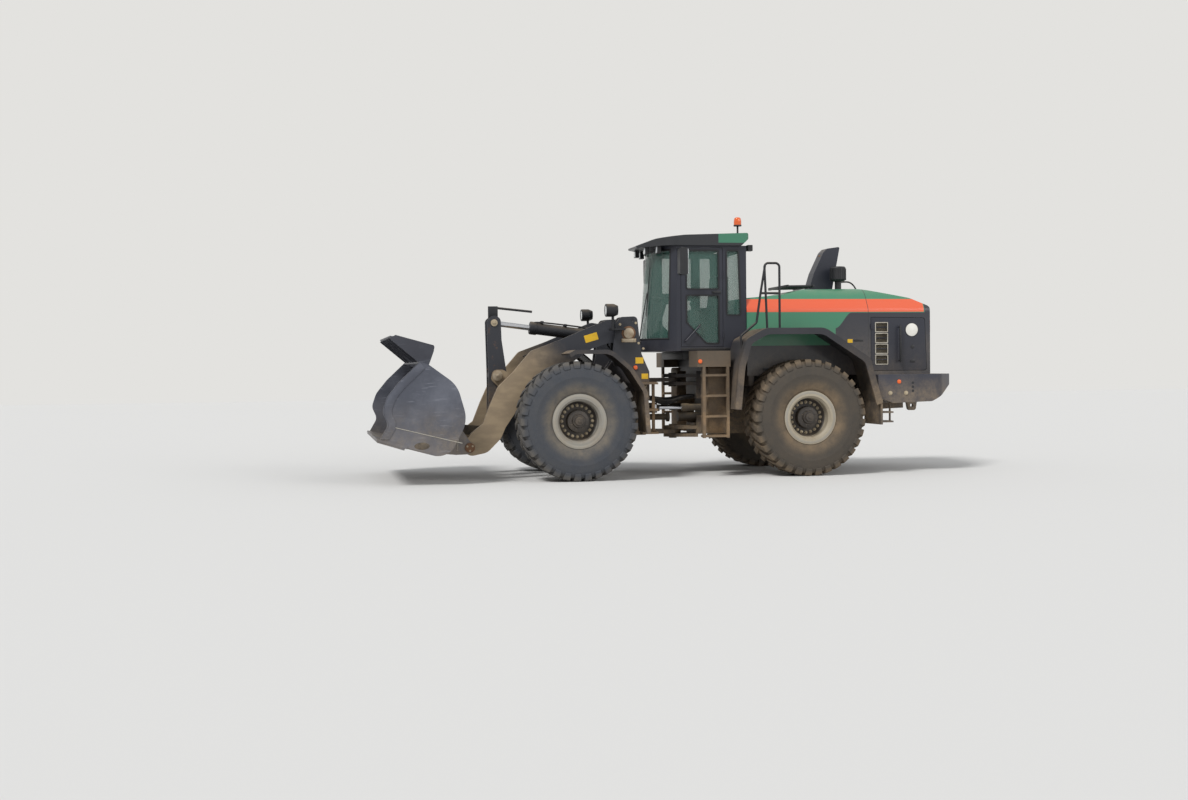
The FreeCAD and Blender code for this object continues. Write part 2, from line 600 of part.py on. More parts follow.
def cab():
    shell = cut("cab_walls", cab_loft("cab_outer", 0), [cab_loft("cab_inner", s.cab_wall)])
    panes = cut("cab_panes", cab_loft("pane_outer", 20), [cab_loft("pane_inner", 20 + s.glass)])
    openings = [plate("windscreen_bay", WINDSCREEN, 800, 520, "YZ_Plane"),
                plate("rear_bay", REAR_WINDOW, 300, -s.cab_rear, "YZ_Plane")]
    glass = [plate("windscreen_pane", grown(WINDSCREEN, -s.fit), 798, 520, "YZ_Plane"),
             plate("rear_pane", grown(REAR_WINDOW, -s.fit), 300, -s.cab_rear, "YZ_Plane")]
    for sign in (1, -1):
        openings.append(side_cutter("quarter_bay", QUARTER, sign))
        glass.append(side_cutter("quarter_pane", grown(QUARTER, -s.fit), sign))
    for corners in (DOOR_TOP, DOOR_LOW):
        openings.append(side_cutter("right_bay", corners, -1))
        glass.append(side_cutter("right_pane", grown(corners, -s.fit), -1))
    openings.append(side_cutter("door_bay_cab", grown(DOOR, s.run_gap), 1))
    node("cab_shell", [cut("cab_open", shell, openings)])
    node("cab_glass", [common("cab_glazing", panes, group("glass_bays", glass))])
    leaf = common("door_leaf", cut("door_walls", cab_loft("door_outer", 0), [cab_loft("door_inner", s.cab_wall)]),
                  side_cutter("door_shape", DOOR, 1))
    windows = [side_cutter("door_window", corners, 1) for corners in (DOOR_TOP, DOOR_LOW)]
    handle = tube("cab_handle", 12, [(0, s.cab_half - 10, 2000), (0, s.cab_half + 45, 2000),
                                     (-230, s.cab_half + 45, 2240), (-230, s.cab_half - 10, 2240)], 20)
    hinges = []
    for z in (2100, 3000):
        hinges.append(bar("cab_knuckle", 10, 90, (-593, s.cab_half + 10 + s.fit, z), "Z"))
        hinges.append(block("cab_leaf", (-593, s.cab_half, z - 45), (-545, s.cab_half + 6, z + 45)))
    node("cab_door", [cut("door_open", leaf, windows), handle] + hinges)
    door_panes = cut("door_panes", cab_loft("door_pane_outer", 20), [cab_loft("door_pane_inner", 20 + s.glass)])
    shapes = [side_cutter("door_pane", grown(corners, -s.fit), 1) for corners in (DOOR_TOP, DOOR_LOW)]
    node("door_glass", [common("door_glazing", door_panes, group("door_bays", shapes))])


def cab_roof():
    top = s.cab_top
    profile = [(-1000, top + 110, 30), (-880, top), (600, top), (640, top + 20, 15), (400, top + 110, 200),
               (0, top + 155, 600), (-1000, top + 190, 40)]
    side = plate("roof_profile", profile, 2 * (s.cab_half + 50))
    half = s.cab_half + 45
    plan = [(-1000, -half, 60), (-1000, half, 60), (250, half, 300), (640, 230, 200), (640, -230, 200),
            (250, -half, 300)]
    flat = plate("roof_plan", plan, 2 * (top + 400), 0, "XY_Plane")
    node("cab_roof", [common("roof_body", side, flat)])
    z = top + 185
    mast = cut("mast_cut", bar("beacon_mast", 12, 240, (-930, 450, z + 90), "Z"),
               [plate("mast_trim", profile, 2 * s.cab_half)])
    node("beacon", [mast,
                    turned("beacon_dome", [(0, 0), (58, 0), (58, 60), (46, 120, 30), (0, 125)], (-930, 450, z + 150), "Z")])
    lamps = []
    for y in (-560, -330, 330, 560):
        lamps.append(block("roof_lamp", (310 if abs(y) > 400 else 440, y - 60, top - 105),
                           (370 if abs(y) > 400 else 500, y + 60, top)))
    for _, side_sign in SIDES:
        lamps.append(fuse("rear_lamp", [block("rear_lamp_box", (-1090, side_sign * 640 - 55, top - 70),
                                              (-1020, side_sign * 640 + 55, top + 20)),
                                        block("rear_lamp_arm", (-1030, side_sign * 640 - 15, top - 60),
                                              (-s.cab_rear, side_sign * 640 + 15, top - 30))]))
    node("work_lamps", lamps, apart=True)
    mirrors = []
    for _, sign in SIDES:
        y = sign * s.mirror_y
        x = s.mirror_x
        arm = tube("mirror_arm", 12, [(x - 10, sign * s.cab_half, 3370), (x - 10, y, 3370), (x, y, s.mirror_z)], 40)
        head = plate("mirror_head", [(x - 60, s.mirror_z - 200, 30), (x + 60, s.mirror_z - 200, 30),
                                     (x + 60, s.mirror_z + 190, 30), (x - 60, s.mirror_z + 190, 30)], 160, y)
        mirrors.append(fuse("mirror_side", [arm, head]))
    node("mirrors", mirrors, apart=True)


def cab_inside():
    floor = s.cab_base + s.cab_wall
    x = -430
    node("seat_base", [block("seat_box", (x - 230, -230, floor), (x + 190, 230, s.seat_z - 140)),
                       block("left_console", (x - 200, 260, floor), (x + 260, 380, s.seat_z + 60)),
                       block("right_console", (x - 200, -380, floor), (x + 260, -260, s.seat_z + 60))], apart=True)
    cushion = plate("seat_pad", [(x - 260, s.seat_z - 140, 30), (x + 250, s.seat_z - 140, 60),
                                 (x + 250, s.seat_z, 60), (x - 150, s.seat_z - 20, 30),
                                 (x - 230, s.seat_z + 620, 45), (x - 350, s.seat_z + 620, 45)], 480)
    node("seat_cushion", [cushion])
    column = strut("column", 40, (330, 0, floor + 12), (120, 0, 2600))
    foot = block("column_foot", (270, -70, floor), (390, 70, floor + 30))
    ring = doc.addObject("Part::Torus", "steering_ring")
    ring.Radius1 = 190
    ring.Radius2 = 15
    tilt = FreeCAD.Rotation(V(0, 1, 0), -17)
    ring.Placement = FreeCAD.Placement(V(105, 0, 2640), tilt)
    spokes = bar("wheel_hub", 50, 60, (108, 0, 2620), "Z")
    arms = [block("wheel_spoke", (108 - 12, -185, 2628), (108 + 12, 185, 2650))]
    node("steering_column", [column, foot, ring, spokes] + arms)


def hood_top():
    x = -s.hood_rear + 1740
    fin = [(x, 2700), (x - 110, 3060, 60), (x - 270, 3390, 80), (x - 330, 3450, 30), (x - 540, 3480, 20), (x - 390, 2700)]
    outer = plate("cowl_outer", fin, 240)
    bore = plate("cowl_bore", [(x - 300, 3180), (x - 650, 3230), (x - 650, 3420), (x - 330, 3400, 40)], 190)
    roof = plate("cowl_trim", hood_profile(0, s.hood_base), 1000)
    node("exhaust_cowl", [cut("cowl_cut", outer, [bore, roof])])
    profile = [(0, 2780), (50, 2780), (50, 2920), (100, 2930), (122, 2960), (122, 3130), (105, 3155, 20), (0, 3160)]
    bowl = turned("bowl", profile, (x - 440, 300, 0), "Z")
    trim = plate("bowl_trim", hood_profile(0, s.hood_base), 1000)
    node("intake_precleaner", [cut("bowl_cut", bowl, [trim])])


# Front frame

def front_frame():
    outline = [(500, 600, 40), (1180, 600, 60), (1280, 1020, 40), (2160, 1020, 40), (2200, 1400, 80),
               (1560, 1560, 100), (500, 1560), (500, s.steer_z + 52), (580, s.steer_z + 52, 20),
               (580, s.steer_z - 52, 20), (500, s.steer_z - 52)]
    wide = s.rail_y
    pieces = [plate("front_rail", outline, "plate", side * wide) for _, side in SIDES]
    half = wide + s.plate / 2
    pieces.append(block("front_web_top", (500, -half, 1140), (540, half, 1560)))
    pieces.append(block("front_web_low", (500, -half, 600), (540, half, 760)))
    pieces.append(block("front_floor", (540, -half, 600), (1180, half, 620)))
    pieces.append(block("front_nose", (2140, -half, 1040), (2180, half, 1400)))
    nose = [(520, -half), (520, half), (0, s.pivot_nose * 0.9, s.pivot_nose * 0.6), (-s.pivot_nose * 0.9, 0, 60),
            (0, -s.pivot_nose * 0.9, s.pivot_nose * 0.6)]
    for level in (s.upper_tongue_z, s.lower_tongue_z):
        hole = [(0, 0, s.pivot_pin + s.fit)]
        pieces.append(plate("tongue", nose, "tongue_thick", level, "XY_Plane", hole))
    low = 1400
    x, z = s.boom_pin_x, s.boom_pin_z
    tower = [(x - 310, 1150), (x - 250, 1150), (x - 100, low), (x + 480, low), (x + 260, z - 420, 120),
             (x + 190, z + 150, 60), (x + 120, z + 240, 60), (x - 130, z + 250, 60), (x - 190, z - 300, 200),
             (x - 310, 1560)]
    outer = s.tower_outer_y
    inner = s.tower_inner_y
    hole = [(x - 50, z + 195, s.lifting_bore)]
    for _, side in SIDES:
        pieces.append(plate("tower_outer", tower, "tower_plate", side * outer, holes=hole))
        pieces.append(plate("tower_inner", tower, "tower_plate", side * inner, holes=hole))
        pieces.append(bar("boom_pin", "boom_pin_r", outer - inner + s.tower_plate + 20, (x, side * (outer + inner) / 2, z)))
    edge = outer + s.tower_plate / 2
    pieces.append(block("tower_wall", (x - 310, -edge, 1150), (x - 280, edge, 1560)))
    pieces.append(block("tower_cross", (x - 230, -inner, 1500), (x - 120, inner, 1860)))
    for _, side in SIDES:
        middle = side * (inner + outer) / 2
        half = (outer - inner) / 2
        pieces.append(block("tower_shelf", (x - 100, middle - half, low), (x + 480, middle + half, low + 40)))
    base_x, base_z = s.tilt_base_x, s.tilt_base_z
    ear = [(x - 130, 1700), (x - 30, 1700), (base_x + 40, base_z - 110, 80), (base_x + 70, base_z, 60),
           (base_x, base_z + 75, 60), (base_x - 80, base_z, 60), (x - 130, 1860)]
    space = s.eye_width / 2 + s.fit + 20
    for step in (-space, space):
        pieces.append(plate("tilt_ear", ear, 40, step))
    pieces.append(bar("tilt_base_pin", "pin_r", 2 * space + 80, (base_x, 0, base_z)))
    for _, side in SIDES:
        face = wide + s.plate / 2
        eye = s.lift_y - s.eye_width / 2 - s.fit
        pieces.append(bar("lift_boss", s.pin_r + 30, eye - face, (s.lift_base_x, side * (face + eye) / 2, s.lift_base_z)))
        end = s.lift_y + s.eye_width / 2 + s.fit
        pieces.append(bar("lift_base_pin", "pin_r", end - face, (s.lift_base_x, side * (face + end) / 2, s.lift_base_z)))
        pieces.append(bar("lift_cap", s.pin_r + 20, 12, (s.lift_base_x, side * (end + 6), s.lift_base_z)))
        spread = s.eye_width / 2 + s.fit + 12.5
        for step in (-spread, spread):
            tab = [(540, side * (wide - 60)), (540, side * (wide + 20)), (s.steer_front_x, side * (s.steer_front_y + 64), 40),
                   (s.steer_front_x - 64, side * s.steer_front_y, 40), (s.steer_front_x, side * (s.steer_front_y - 64), 40)]
            pieces.append(plate("steer_tab", tab, 25, s.steer_z + step, "XY_Plane"))
    node("front_frame", pieces)


def front_steps():
    pieces = []
    for _, side in SIDES:
        face = s.tower_outer_y + s.tower_plate / 2
        parts = [block("step_post", (x, side * (face + 20) - 20, 640), (x + 40, side * (face + 20) + 20, 1400))
                 for x in (470, 650)]
        parts += [block("step_tread", (460, side * (face + 110) - 110, z), (700, side * (face + 110) + 110, z + 30))
                  for z in (640, 980, 1370)]
        pieces.append(fuse("front_step_side", parts))
    node("front_steps", pieces, apart=True)


def headlamps():
    pieces = []
    for _, side in SIDES:
        y = side * 960
        lamp = turned("lamp", [(0, 0), (70, 0), (95, 60, 20), (95, 170), (0, 170)], (1060, y, 2460), "X")
        mount = s.tower_outer_y + s.tower_plate / 2
        parts = [lamp, bar("lamp_post", 20, 260, (1130, y, 2300), "Z"),
                 block("lamp_arm", (940, side * (mount + 960) / 2 - (960 - mount) / 2, 2170),
                       (1150, side * (mount + 960) / 2 + (960 - mount) / 2, 2200))]
        pieces.append(fuse("headlamp_side", parts))
    node("headlamps", pieces, apart=True)


# Loader arm

BOOM_LINE = ((960, 2300, 60), (1150, 2330, 100), (1480, 2200), (1860, 2040), (2300, 1880, 120), (2560, 1580, 200),
             (2790, 1360, 200), (2910, 1100), (3020, 820), (3190, 690, 80), (3350, 480, 120), (3220, 350, 120),
             (2960, 400, 200), (2760, 600, 200), (2690, 760), (2520, 1010), (2130, 1350, 300), (1700, 1700, 300),
             (1400, 1900), (1130, 1990), (850, 1980, 140), (700, 2130, 140), (850, 2280, 140))


def boom():
    holes = [(s.boom_pin_x, s.boom_pin_z, s.boom_pin_r + s.fit), (s.hinge_x, s.hinge_z, s.hinge_r + s.fit)]
    pieces = [plate("arm", BOOM_LINE, "arm_thick", side * s.arm_y, holes=holes) for _, side in SIDES]
    pieces.append(bar("cross_tube", 140, 2 * s.arm_y - s.arm_thick, (2440, 0, 1320)))
    ear_y = s.crank_y + s.crank_plate / 2 + s.run_gap + 20
    ear = [(2330, 1400), (2420, 1200), (2560, 1200), (s.crank_x + 90, s.crank_z - 60, 60),
           (s.crank_x + 60, s.crank_z + 90, 80), (s.crank_x - 90, s.crank_z + 90, 80)]
    hole = [(s.crank_x, s.crank_z, s.crank_r + s.fit)]
    for step in (-ear_y, ear_y):
        pieces.append(plate("crank_ear", ear, 40, step, holes=hole))
    for _, side in SIDES:
        gap = s.eye_width / 2 + s.run_gap
        tab = [(s.lift_eye_x - 85, s.lift_eye_z + 180), (s.lift_eye_x - 72, s.lift_eye_z - 70, 60),
               (s.lift_eye_x + 90, s.lift_eye_z - 70, 60), (s.lift_eye_x + 130, s.lift_eye_z + 180)]
        pieces.append(plate("lift_tab_inner", tab, 30, side * (s.lift_y - gap - 15)))
        outer = plate("lift_tab_outer", tab, 30, side * (s.lift_y + gap + 15))
        wide = s.arm_y - s.arm_thick / 2 - (s.lift_y - gap - 30)
        middle = side * (s.arm_y - s.arm_thick / 2 - wide / 2)
        cap = block("lift_tab_cap", (s.lift_eye_x - 85, middle - wide / 2, s.lift_eye_z + 150),
                    (s.lift_eye_x + 130, middle + wide / 2, s.lift_eye_z + 180))
        pieces += [outer, cap]
    node("boom", pieces)


def linkage():
    reach = s.arm_thick + 2 * (s.run_gap + 40)
    node("bucket_pins", [bar("bucket_pin", "hinge_r", reach, (s.hinge_x, side * s.arm_y, s.hinge_z)) for _, side in SIDES],
         apart=True)
    ear_y = s.crank_y + s.crank_plate / 2 + s.run_gap + 40
    node("crank_pin", [bar("crank_pin_bar", "crank_r", 2 * ear_y, (s.crank_x, 0, s.crank_z))])
    x, z = s.crank_top_x, s.crank_top_z
    low_x, low_z = s.crank_low_x, s.crank_low_z
    outline = [(x + 108, z + 40, 80), (x + 90, 1560, 100), (x + 90, 1280, 120), (low_x + 95, low_z + 60, 60),
               (low_x + 60, low_z - 80, 60), (low_x - 60, low_z - 80, 60), (low_x - 95, low_z + 60, 60),
               (s.crank_x - 110, 1250, 100), (s.crank_x - 150, 1560, 120), (x - 110, 2050, 200),
               (x - 100, z + 60, 80), (x, z + 130, 80)]
    hole = [(s.crank_x, s.crank_z, s.crank_r + s.fit)]
    plates = [plate("crank_side", outline, "crank_plate", step, holes=hole) for step in (-s.crank_y, s.crank_y)]
    inner = 2 * s.crank_y - s.crank_plate
    ring = turned("crank_boss", [(s.crank_r + s.fit, -inner / 2 - 5), (s.crank_r + 55, -inner / 2 - 5),
                                 (s.crank_r + 55, inner / 2 + 5), (s.crank_r + s.fit, inner / 2 + 5)],
                  (s.crank_x, 0, s.crank_z))
    web = block("crank_web", (2800, -inner / 2 - 5, 1600), (2830, inner / 2 + 5, 2000))
    caps = [bar("crank_boss_cap", s.link_r + 12, 20, (low_x, side * (s.crank_y + s.crank_plate / 2 + 8), low_z))
            for _, side in SIDES]
    node("bellcrank", plates + [ring, web] + caps)
    ex, ez = s.link_ear_x, s.link_ear_z
    bar_line = [(low_x - 80, low_z, 70), (low_x, low_z - 80, 70), (ex, ez - 70, 58), (ex + 70, ez, 58),
                (ex, ez + 70, 58), (low_x, low_z + 80, 70)]
    holes = [(ex, ez, s.link_r + s.fit)]
    node("bucket_link", [plate("link_bar", bar_line, "link_width", holes=holes)])
    reach = s.link_width + 2 * (s.run_gap + 40) + 30
    node("link_pin", [bar("link_pin_bar", "link_r", reach, (ex, 0, ez))])


# A cylinder between two eyes: barrel with its base eye, and rod with its own eye.
def ram(name, base, tip, bore, rod, barrel, inner, axis="Y"):
    way = (V(*tip) - V(*base)).normalize()
    start = V(*base)
    end = V(*tip)
    ring = s.eye_ring + s.pin_r
    neck = ring + 30
    hollow = s.fit + amount_of(rod)
    turn = FreeCAD.Rotation(V(0, 0, 1), way)
    # (radius, distance from the base eye)
    radius = amount_of(bore)
    profile = [(0, ring - 20), (42, ring - 20), (42, neck), (radius - 6, neck, 4), (radius, neck + 30),
               (radius, barrel - 110), (radius + 9, barrel - 110), (radius + 9, barrel - 10), (radius, barrel),
               (hollow, barrel), (hollow, neck + 20), (0, neck + 20)]
    body = turned(name + "_tube", profile, base, "Z")
    body.Placement = FreeCAD.Placement(start, turn)
    eye = cut(name + "_base_eye", bar(name + "_base_ring", ring, "eye_width", base, axis),
              [bar(name + "_base_bore", s.pin_r + s.fit, s.eye_width + 20, base, axis)])
    barrel_part = fuse(name + "_barrel_parts", [body, eye])
    stem = strut(name + "_stem", rod, tuple(start + way * inner), tuple(end - way * (ring - 20)))
    tip_eye = bar(name + "_tip_ring", ring, "eye_width", tip, axis)
    return barrel_part, fuse(name + "_rod_parts", [stem, tip_eye])


def cylinders():
    base = (s.tilt_base_x, 0, s.tilt_base_z)
    tip = (s.crank_top_x, 0, s.crank_top_z)
    barrel, rod = ram("tilt", base, tip, "tilt_bore", "tilt_rod", s.tilt_barrel, s.tilt_stem)
    node("tilt_barrel", [barrel])
    marker = [block("marker_foot", (2700, -25, 2380), (2840, 25, 2560)),
              strut("marker_bar", 16, (2790, 0, 2545), (2175, 0, 2479))]
    node("tilt_rod", [rod] + marker)
    for name, side in SIDES:
        base = (s.lift_base_x, side * s.lift_y, s.lift_base_z)
        tip = (s.lift_eye_x, side * s.lift_y, s.lift_eye_z)
        barrel, rod = ram("lift_" + name, base, tip, "lift_bore", "lift_rod", s.lift_barrel, s.lift_stem)
        node("lift_barrel_" + name, [barrel])
        node("lift_rod_" + name, [rod])
    for name, side in SIDES:
        base = (-s.steer_base_x, side * s.steer_base_y, s.steer_z)
        tip = (s.steer_front_x, side * s.steer_front_y, s.steer_z)
        barrel, rod = ram("steer_" + name, base, tip, "steer_bore", "steer_rod", s.steer_barrel,
                          s.steer_stem, "Z")
        node("steer_barrel_" + name, [barrel])
        node("steer_rod_" + name, [rod])


# Bucket, in its carried attitude

def bucket():
    wrap = [(4600, 640), (3620, 370, 260), (3340, 900, 420), (3480, 1400, 420), (3860, 1680), (3990, 1735)]
    wide = 2 * s.bucket_half - 2 * s.bucket_side
    shell = plate("bucket_wrap", strip_outline(wrap[::-1], s.bucket_wall), wide + 10)
    pieces = [shell]
    side_line = [(4560, 650), (3620, 372, 250), (3340, 900, 420), (3480, 1400, 420), (3860, 1680), (3990, 1735),
                 (4280, 1460, 300), (4450, 1250, 300), (4520, 1040, 150), (4440, 860, 120)]
    for _, side in SIDES:
        pieces.append(plate("bucket_cheek", side_line, "bucket_side", side * (s.bucket_half - s.bucket_side / 2)))
    edge = [(4600, 640), (4590, 668), (4180, 570), (4190, 522)]
    pieces.append(plate("cutting_edge_bar", edge, 2 * s.bucket_half + 20))
    guard = [(3990, 1720), (3860, 1670), (3765, 1935, 50), (3780, 1962), (4310, 2110), (4390, 2060), (4370, 2040)]
    guard_plate = strip_outline([(3880, 1660), (3790, 1905, 40), (4390, 2080)], 20)
    # a window in the guard lets the bell crank past when the bucket is rolled back
    window = block("guard_window", (3700, -200, 1700), (3930, 200, 2100))
    pieces.append(cut("guard_open", plate("spill_guard", guard_plate, 2 * s.bucket_half - 500), [window]))
    for share in (-1, -0.55, -0.162, 0.162, 0.55, 1):
        pieces.append(plate("guard_rib", guard, 16, share * (s.bucket_half - 258)))
    for _, side in SIDES:
        for step in (-1, 1):
            y = side * s.arm_y + step * (s.arm_thick / 2 + s.run_gap + 20)
            ear = [(3420, 380, 60), (s.hinge_x, s.hinge_z - 95, 80), (s.hinge_x - 90, s.hinge_z, 80),
                   (s.hinge_x, s.hinge_z + 95, 80), (3410, 860), (3500, 860), (3640, 400)]
            hole = [(s.hinge_x, s.hinge_z, s.hinge_r + s.fit)]
            pieces.append(plate("hinge_ear", ear, 40, y, holes=hole))
    y = s.link_width / 2 + s.run_gap + 20
    ear = [(3480, 520), (3400, 560), (s.link_ear_x - 20, s.link_ear_z - 80, 60), (s.link_ear_x - 75, s.link_ear_z + 20, 60),
           (s.link_ear_x, s.link_ear_z + 90, 60), (3375, 1000), (3400, 1000), (3410, 740)]
    hole = [(s.link_ear_x, s.link_ear_z, s.link_r + s.fit)]
    for step in (-y, y):
        pieces.append(plate("link_ear", ear, 40, step, holes=hole))
    node("bucket", pieces)


wheels()
rear_axle()
front_axle()
rear_frame()
counterweight()
driveline()
hood()
hood_doors()
rear_fenders()
front_fenders()
access_steps()
handrails()
cab()
cab_roof()
cab_inside()
hood_top()
front_frame()
front_steps()
headlamps()
boom()
linkage()
cylinders()
bucket()
doc.recompute()

for feature in doc.Objects:
    if "Invalid" in feature.State or "Error" in feature.State:
        raise RuntimeError("failed feature: " + feature.Name + " " + str(feature.State))
for part in NODES:
    if part.Shape.isNull() or not part.Shape.isValid() or not part.Shape.Solids:
        raise RuntimeError("bad shape: " + part.Label)
os.makedirs("parts", exist_ok=True)
for part in NODES:
    part.Shape.exportStep("parts/" + part.Label + ".step")
    box = part.Shape.BoundBox
    print("%-20s %2d solids  x %6.0f %6.0f  y %6.0f %6.0f  z %6.0f %6.0f  %8.4f m3" % (
        part.Label, len(part.Shape.Solids), box.XMin, box.XMax, box.YMin, box.YMax, box.ZMin, box.ZMax,
        part.Shape.Volume / 1e9))
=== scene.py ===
import math

import bmesh
import bpy
from mathutils import Euler, Matrix, Vector


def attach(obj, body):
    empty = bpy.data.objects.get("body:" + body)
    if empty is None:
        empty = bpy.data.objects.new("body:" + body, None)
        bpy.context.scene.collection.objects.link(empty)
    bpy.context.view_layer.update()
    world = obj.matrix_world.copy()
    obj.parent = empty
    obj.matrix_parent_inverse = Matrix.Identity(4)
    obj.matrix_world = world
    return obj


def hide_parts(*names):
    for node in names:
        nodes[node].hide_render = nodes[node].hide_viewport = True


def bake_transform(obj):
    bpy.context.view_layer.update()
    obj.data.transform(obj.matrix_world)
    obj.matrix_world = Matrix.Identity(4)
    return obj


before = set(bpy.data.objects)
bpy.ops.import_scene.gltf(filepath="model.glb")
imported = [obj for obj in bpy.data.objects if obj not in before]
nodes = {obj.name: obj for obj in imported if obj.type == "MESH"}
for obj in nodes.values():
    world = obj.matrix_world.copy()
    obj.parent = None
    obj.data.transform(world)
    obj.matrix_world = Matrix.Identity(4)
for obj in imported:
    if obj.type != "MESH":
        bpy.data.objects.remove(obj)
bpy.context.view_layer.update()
sides = (("left", 1), ("right", -1))
print("frame loaded")


def linearColor(hexText):
    channels = [int(hexText[i:i + 2], 16) / 255 for i in (1, 3, 5)]
    return tuple(c / 12.92 if c <= 0.04045 else ((c + 0.055) / 1.055) ** 2.4 for c in channels) + (1,)


# settings that several nodes share
multiply = {"operation": "MULTIPLY"}
multiplyAdd = {"operation": "MULTIPLY_ADD"}
add = {"operation": "ADD"}
larger = {"operation": "GREATER_THAN"}
smaller = {"operation": "LESS_THAN"}
most = {"operation": "MAXIMUM"}
smooth = {"interpolation_type": "SMOOTHSTEP"}
colors = {"data_type": "RGBA"}  # its sockets are 0, the factor, 6 and 7, the two colours


# adds a node; a socket takes a value, a node (its first output in use) or one of a node's outputs
def addNode(tree, kind, settings=None, sockets=None):
    made = tree.nodes.new("ShaderNode" + kind)
    for name, value in (settings or {}).items():
        setattr(made, name, value)
    for name, value in (sockets or {}).items():
        if isinstance(value, bpy.types.Node):
            value = next(output for output in value.outputs if output.enabled)
        if isinstance(value, bpy.types.NodeSocket):
            tree.links.new(value, made.inputs[name])
        else:
            made.inputs[name].default_value = value
    return made


def startMaterial(name, shaderSettings):
    material = bpy.data.materials.new(name)
    material.use_nodes = True
    tree = material.node_tree
    shader = tree.nodes["Principled BSDF"]
    for socket, value in shaderSettings.items():
        shader.inputs[socket].default_value = value
    return material, tree, shader, addNode(tree, "TexCoord")


def finishMaterial(tree, shader, color, rough, height, depth, distance):
    tree.links.new(next(output for output in color.outputs if output.enabled), shader.inputs["Base Color"])
    if rough:
        tree.links.new(rough.outputs[0], shader.inputs["Roughness"])
    bump = addNode(tree, "Bump", None, {"Strength": depth, "Distance": distance, "Height": height})
    tree.links.new(bump.outputs[0], shader.inputs["Normal"])


# Dust lies on faces that look up, thickens towards the ground and breaks up in patches.
def dustFactor(tree, place, amount, onTop, low, high):
    point = place.outputs["Object"]
    axes = addNode(tree, "SeparateXYZ", None, {0: point})
    facing = addNode(tree, "SeparateXYZ", None, {0: place.outputs["Normal"]})
    upward = addNode(tree, "MapRange", smooth, {0: facing.outputs[2], 1: 0.25, 2: 0.95})
    lower = addNode(tree, "MapRange", smooth, {0: axes.outputs[2], 1: high, 2: low})
    up = addNode(tree, "Math", multiply, {0: upward, 1: onTop})
    both = addNode(tree, "Math", multiplyAdd, {0: lower, 1: amount, 2: up})
    cloud = addNode(tree, "TexNoise", None, {"Vector": point, "Scale": 3.2, "Detail": 6.0, "Roughness": 0.68})
    patches = addNode(tree, "MapRange", smooth, {0: cloud, 1: 0.34, 2: 0.68})
    grit = addNode(tree, "TexNoise", None, {"Vector": point, "Scale": 38.0, "Detail": 3.0, "Roughness": 0.7})
    fine = addNode(tree, "MapRange", smooth, {0: grit, 1: 0.25, 2: 0.8})
    broken = addNode(tree, "Math", multiplyAdd, {0: patches, 1: 0.75, 2: 0.35})
    grainy = addNode(tree, "Math", multiplyAdd, {0: fine, 1: 0.5, 2: 0.6})
    cover = addNode(tree, "Math", multiply, {0: both, 1: broken})
    return addNode(tree, "Math", {"operation": "MULTIPLY", "use_clamp": True}, {0: cover, 1: grainy}), axes


# Sprayed machine paint: orange peel about 5 mm across, faded in broad patches, dusty below and on top.
def paint(name, colorHex, dustHex="#a8957a", amount=0.8, onTop=0.35, low=0.6, high=2.2, roughness=0.42, fadeHex=None):
    material, tree, shader, place = startMaterial(name, {"Roughness": roughness, "IOR": 1.5, "Specular IOR Level": 0.35,
                                                         "Coat Weight": 0.06, "Coat Roughness": 0.25})
    point = place.outputs["Object"]
    dust, axes = dustFactor(tree, place, amount, onTop, low, high)
    broad = addNode(tree, "TexNoise", None, {"Vector": point, "Scale": 1.1, "Detail": 3.0})
    patches = addNode(tree, "MapRange", smooth, {0: broad, 1: 0.3, 2: 0.75})
    color = addNode(tree, "Mix", colors, {0: patches, 6: linearColor(colorHex), 7: linearColor(fadeHex or colorHex)})
    color = addNode(tree, "Mix", colors, {0: dust, 6: color, 7: linearColor(dustHex)})
    rough = addNode(tree, "Math", multiplyAdd, {0: dust, 1: 0.42, 2: roughness})
    peel = addNode(tree, "TexNoise", None, {"Vector": point, "Scale": 180.0, "Detail": 2.0})
    finishMaterial(tree, shader, color, rough, addNode(tree, "Math", add, {0: peel, 1: dust}), 0.12, 0.002)
    return material


anthracitePaint = paint("anthracite two-pack paint, dusty", "#282a33", amount=0.34, onTop=0.25, fadeHex="#32343d")
lowAnthracitePaint = paint("anthracite chassis paint, muddy", "#2b2d33", "#8d7a62", amount=1.15, onTop=0.8, low=0.5,
                           high=1.9, roughness=0.55, fadeHex="#3a3a3e")
counterweightPaint = paint("anthracite paint over cast iron", "#2f333f", "#8d7d68", amount=0.85, onTop=0.6, low=1.02,
                           high=1.62, roughness=0.5, fadeHex="#393d4a")
blackPaint = paint("black powder coat, dusty", "#1c1d21", amount=0.4, onTop=0.35, roughness=0.5, fadeHex="#26272b")
fenderPlastic = paint("moulded polyethylene, mud on the lower part", "#2b2c31", "#8f7c64", amount=0.95, onTop=0.75,
                      low=0.8, high=2.15, roughness=0.6, fadeHex="#36363a")
castSteel = paint("cast steel, oily", "#2b2c2f", "#75664f", amount=0.8, onTop=0.6, low=0.6, high=2.0, roughness=0.55)
stepSteel = paint("checker plate steel, brown dust", "#4b443c", "#8b7459", amount=1.1, onTop=0.9, low=0.6, high=2.2,
                  roughness=0.65, fadeHex="#5b5044")
lockPaint = paint("grey lock ring paint, muddy", "#97938a", "#8b7a63", amount=0.5, onTop=0.3, low=0.2, high=2.4,
                  roughness=0.55, fadeHex="#a5a195")
hubPaint = paint("black hub paint, muddy", "#2b2b2e", "#7d6e5a", amount=0.55, onTop=0.4, low=0.2, high=2.2,
                 roughness=0.6)


